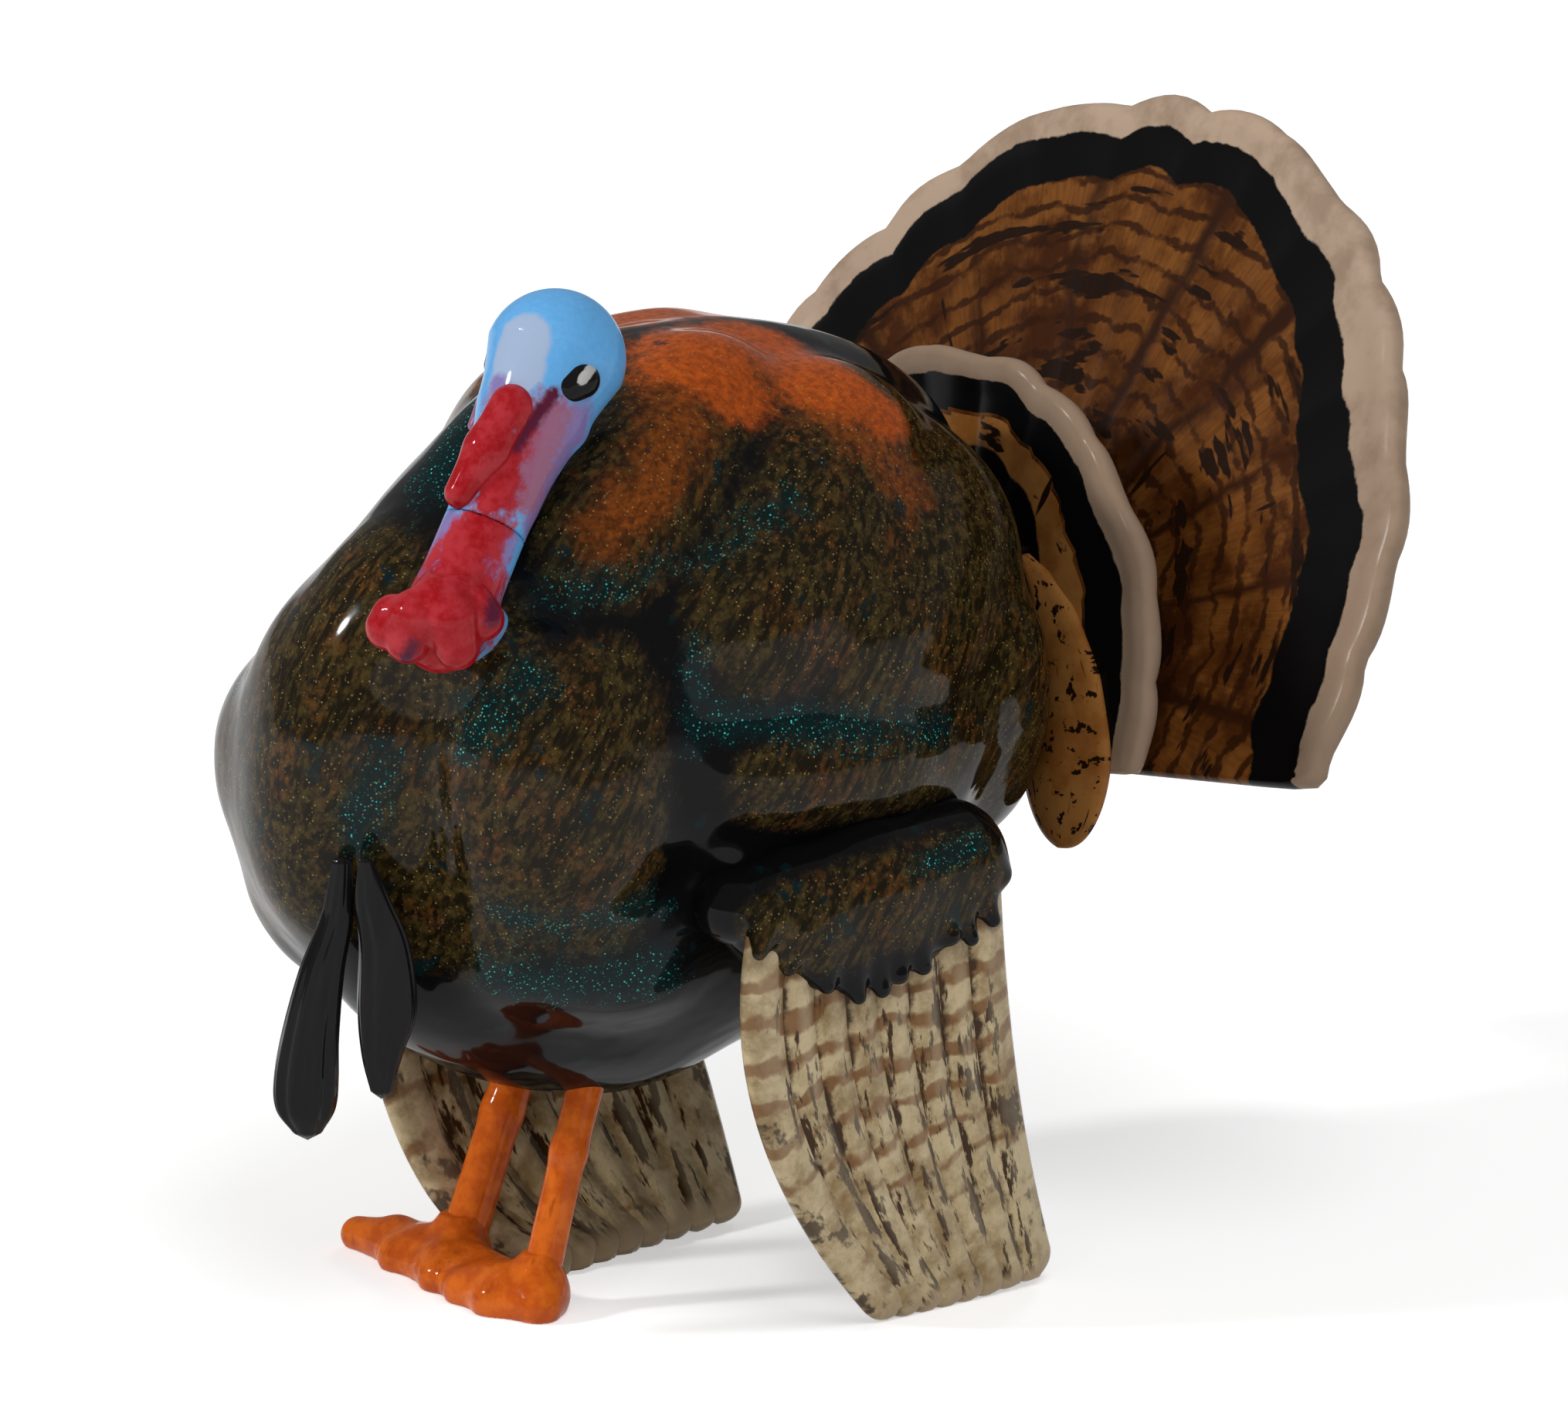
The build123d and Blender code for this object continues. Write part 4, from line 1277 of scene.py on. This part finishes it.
# Painted shade darkens the cream rim towards the bird's left side and all round the small fan's rim.
rim_left_painted_shade = step_up(tail_paint, stored(tail_paint, "angle"), 70, 0)
covert_rim_painted_shade = step_up(tail_paint, reach_mm, 50, 44)
rim_tone = coats(
    tail_paint,
    mix_colours(tail_paint, step_up(tail_paint, hand, 0.40, 0.68), RIM_CREAM, RIM_SHADE),
    (maths(tail_paint, "MAXIMUM", rim_left_painted_shade, covert_rim_painted_shade), RIM_PAINTED_SHADE, 0.8),
)
tail_tone = coats(
    tail_paint,
    mix_colours(tail_paint, step_up(tail_paint, washes, 0.38, 0.62), AMBER_DARK, AMBER),
    (honey_share, HONEY, 0.8),
    (step_up(tail_paint, ring_wave, 1.7, 2.3), AMBER_SHADOW, 0.9),
    (step_up(tail_paint, seam_share, 0.38, 0.50), AMBER_SHADOW),
    (dark_strokes, STROKE_BROWN),
    (step_up(tail_paint, fibres, 0.35, 0.70), AMBER_SHADOW, 0.35),
    (step_up(tail_paint, hand_band, 2.60, 2.68), gold),
    (inner_black, BAND_BLACK),
    (step_up(tail_paint, hand_band, 2.04, 1.98), BAND_BLACK),
    (step_up(tail_paint, hand_band, 1.03, 0.97), rim_tone),
)
paint_over(tail_paint, tail_shader, tail_tone, fibres, 0.15, 0.0004)

for name, spec in (("tail_fan", TAIL_FAN), ("covert_fan", COVERT_FAN)):
    finish_piece(make_fan(f"painted_{name}", spec), "tail", tail_paint, name)

# ---- Legs and feet ---------------------------------------------------------------------------
# Two round shanks are pegged up into the belly and down into the feet, which are cast joined
# so that the bird stands. All are brushed with orange over a darker orange.

ANKLES = (np.array([10.0, 3.0, 5.0]), np.array([-10.0, 6.2, 5.0]))
HIPS = (np.array([10.0, 13.5, 36.0]), np.array([-10.0, 20.7, 36.0]))
# The tip of each toe, from outer to inner, left foot first.
TOES = (
    ((13.5, 0.0), (7.0, -2.5), (0.5, -2.0)),
    ((-27.5, 3.2), (-16.5, 0.8), (-6.0, -1.0)),
)
# Each shank's radius at ankle, knee and hip.
SHANKS = ((2.5, 2.3, 2.5), (3.0, 2.7, 2.7))
FOOT_FILLET = 0.8
SOLE_LEVEL = 0.05


def leg_form(points, ankle, hip, radii):
    knee = ankle + 0.5 * (hip - ankle)
    return bars(points, ((ankle - (0, 0, 2), knee, *radii[:2]), (knee, hip, *radii[1:])))


def feet_form(points):
    """Both feet with the plate that joins them, flat below."""
    runs = []
    for ankle, toes, shank in zip(ANKLES, TOES, SHANKS):
        heel = ankle * (1, 1, 0) + (0, 0, 2.0)
        runs.append((heel, ankle + (0, 0, 1.0), 3.1, shank[0] + 0.1))
        for toe_x, toe_y in toes:
            tip = np.array([toe_x, toe_y, 1.8])
            bend = 0.4 * heel + 0.6 * tip + (0, 0, 0.8)
            runs.append((heel + (0, 0, 0.6), bend, 2.9, 2.4))
            runs.append((bend, tip, 2.4, 2.0))
    edge = [(toe_x, toe_y + 0.8, 1.4) for toes in TOES[::-1] for toe_x, toe_y in sorted(toes)]
    runs += [(np.array(one), np.array(next_one), 1.7, 1.7) for one, next_one in zip(edge, edge[1:])]
    left_root, right_root = [ankle * (1, 1, 0) + (0, -1.0, 1.6) for ankle in ANKLES]
    runs.append((left_root, right_root, 3.6, 3.6))
    runs.append((left_root + (-2, -2.2, 0), right_root + (-6, -1.8, 0), 2.6, 2.6))
    return np.maximum(bars(points, runs, FOOT_FILLET), SOLE_LEVEL - points[:, 2])


LEG_ORANGE = (0.52, 0.085, 0.008, 1)
LEG_BRIGHT = (0.72, 0.15, 0.014, 1)
LEG_DEEP = (0.30, 0.042, 0.005, 1)

leg_paint, leg_shader = new_finish("leg_paint", Roughness=0.45, **LACQUER)
leg_streaks = cloud(leg_paint, 1.0, 4, 0.65, combed(leg_paint, (0, 0.3, 1), 0.006, 0.0014))
leg_patches = cloud(leg_paint, 300, 4, 0.6)
leg_tone = mix_colours(leg_paint, step_up(leg_paint, leg_patches, 0.35, 0.65), LEG_ORANGE, LEG_BRIGHT)
leg_tone = coats(leg_paint, leg_tone, (step_up(leg_paint, leg_streaks, 0.58, 0.78), LEG_DEEP, 0.7))
paint_over(leg_paint, leg_shader, leg_tone, leg_patches, 0.5, 0.0006)

for name, ankle, hip, shank in zip(("left_leg", "right_leg"), ANKLES, HIPS, SHANKS):
    leg, _ = cast_piece(f"painted_{name}", lambda points: leg_form(points, ankle, hip, shank), name)
    finish_piece(leg, "bird", leg_paint, name)
feet, _ = cast_piece("painted_feet", feet_form, "feet")
finish_piece(feet, "bird", leg_paint, "feet")

# ---- Beard -----------------------------------------------------------------------------------
# Two tapering strands of coarse bristles hang from the breast, each cast with a peg and
# dipped in black gloss so that the bristles show only as soft ridges.

# Each knot is a place on the strand and its half width there.
FRONT_KNOTS = (
    (8.5, -27.7, 65.6, 1.2),
    (7.8, -28.1, 58.2, 2.0),
    (6.5, -29.6, 51.0, 2.8),
    (5.5, -30.7, 42.7, 3.6),
    (5.0, -31.1, 36.4, 4.1),
    (5.0, -31.2, 32.3, 3.7),
    (5.0, -30.9, 29.2, 1.8),
)
REAR_KNOTS = (
    (12.5, -27.2, 66.3, 0.8),
    (12.5, -26.1, 60.9, 2.2),
    (12.5, -24.2, 54.4, 3.2),
    (12.5, -23.8, 46.0, 3.8),
    (12.5, -24.6, 40.0, 2.6),
    (12.5, -24.8, 35.2, 1.3),
)
STRAND_SIDE = np.array([0.64, 0.77, 0])
STRAND_OUT = np.array([0.77, -0.64, 0])
STRAND_FLAT = 0.62
STRAND_RINGS = 90
STRAND_SIDES = 72
BRISTLE_RISE = 0.05


def smooth_through(knots, count):
    """Places on a smooth curve through the knots, evenly from the first to the last."""
    knots = np.array(knots, float)
    knots = np.concatenate([2 * knots[:1] - knots[1:2], knots, 2 * knots[-1:] - knots[-2:-1]])
    spot = np.linspace(0, len(knots) - 3, count)
    first = np.minimum(spot.astype(int), len(knots) - 4)
    t = (spot - first)[:, None]
    a, b, c, d = (knots[first + step] for step in range(4))
    square = 2 * a - 5 * b + 4 * c - d
    cube = 3 * b - a - 3 * c + d
    return 0.5 * (2 * b + (c - a) * t + square * t ** 2 + cube * t ** 3)


def strand_mesh(name, knots, bristles):
    """A flattened strand with soft lengthwise ridges where its bristles lie."""
    run = smooth_through(knots, STRAND_RINGS)
    turn = np.linspace(0, 2 * math.pi, STRAND_SIDES, endpoint=False)
    share = np.linspace(0, 1, STRAND_RINGS)[:, None]
    wave = np.cos(bristles * turn[None] + 2.0 * share)
    wave = wave + 0.5 * np.cos((bristles + 4) * turn[None] - 3.0 * share)
    half = run[:, 3:] * (1 + BRISTLE_RISE * wave)
    side = (half * np.cos(turn))[..., None] * STRAND_SIDE
    out = (STRAND_FLAT * half * np.sin(turn))[..., None] * STRAND_OUT
    points = (run[:, None, :3] + side + out).reshape(-1, 3)
    tips = [run[0, :3] + (0, 0, 0.5), run[-1, :3] - (0, 0, 1.0)]
    faces = grid_faces(STRAND_RINGS, STRAND_SIDES).tolist()
    last = (STRAND_RINGS - 1) * STRAND_SIDES
    for corner in range(STRAND_SIDES):
        past = (corner + 1) % STRAND_SIDES
        faces.append((len(points), corner, past))
        faces.append((len(points) + 1, last + past, last + corner))
    return make_mesh(name, np.concatenate([points, tips]), faces)


BRISTLE_BLACK = (0.003, 0.003, 0.0035, 1)
BRISTLE_GREY = (0.014, 0.012, 0.012, 1)

beard_paint, beard_shader = new_finish("beard_paint", Roughness=0.4, **LACQUER)
beard_grain = cloud(beard_paint, 1.0, 4, 0.7, combed(beard_paint, (0.05, 0.1, 1), 0.008, 0.0012))
beard_tone = mix_colours(beard_paint, beard_grain, BRISTLE_BLACK, BRISTLE_GREY)
paint_over(beard_paint, beard_shader, beard_tone, beard_grain, 0.35, 0.0005)
for name, knots, bristles in (("beard_front", FRONT_KNOTS, 9), ("beard_rear", REAR_KNOTS, 7)):
    strand = strand_mesh(f"painted_{name}", knots, bristles)
    finish_piece(strand, "bird", beard_paint, name)

# ---- Hidden fittings -------------------------------------------------------------------------
# Birch dowels, a steel dowel and brass sleeves join the castings. Only the tail's socket, its
# block and the rod's sleeve can be seen once the bird is together.


def grained(name, light, dark, along, metal=0.0, roughness=0.5):
    """Turned wood or drawn metal with fine lines along its length."""
    finish, shader = new_finish(name, Roughness=roughness, Metallic=metal)
    lines = cloud(finish, 1.0, 5, 0.65, combed(finish, along, 0.012, 0.0007))
    paint_over(finish, shader, mix_colours(finish, lines, dark, light), lines, 0.2, 0.0001)
    return finish


BIRCH = ((0.66, 0.47, 0.27, 1), (0.46, 0.29, 0.14, 1))
STEEL = ((0.64, 0.64, 0.65, 1), (0.46, 0.46, 0.48, 1))
BRASS = ((0.78, 0.57, 0.25, 1), (0.58, 0.40, 0.15, 1))
birch_across = grained("dowel_wood", *BIRCH, (1, 0, 0), roughness=0.6)
birch_lengthways = grained("dowel_wood_lengthways", *BIRCH, (0, 1, 0), roughness=0.6)
steel = grained("dowel_steel", *STEEL, tuple(NECK_AIM), 1.0, 0.25)
brass = grained("brass", *BRASS, (0, 1, 0.4), 1.0, 0.3)
FITTINGS = {
    "seam_dowels": birch_across,
    "neck_peg": birch_lengthways,
    "left_wing_pegs": birch_across,
    "right_wing_pegs": birch_across,
    "tail_pins": birch_lengthways,
    "head_dowel": steel,
    "neck_bush": brass,
    "tail_socket": brass,
    "rod_socket": brass,
    "tail_block": body_paint,
}
for node, finish in FITTINGS.items():
    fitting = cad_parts[node]
    for slot in fitting.material_slots:
        slot.material = finish
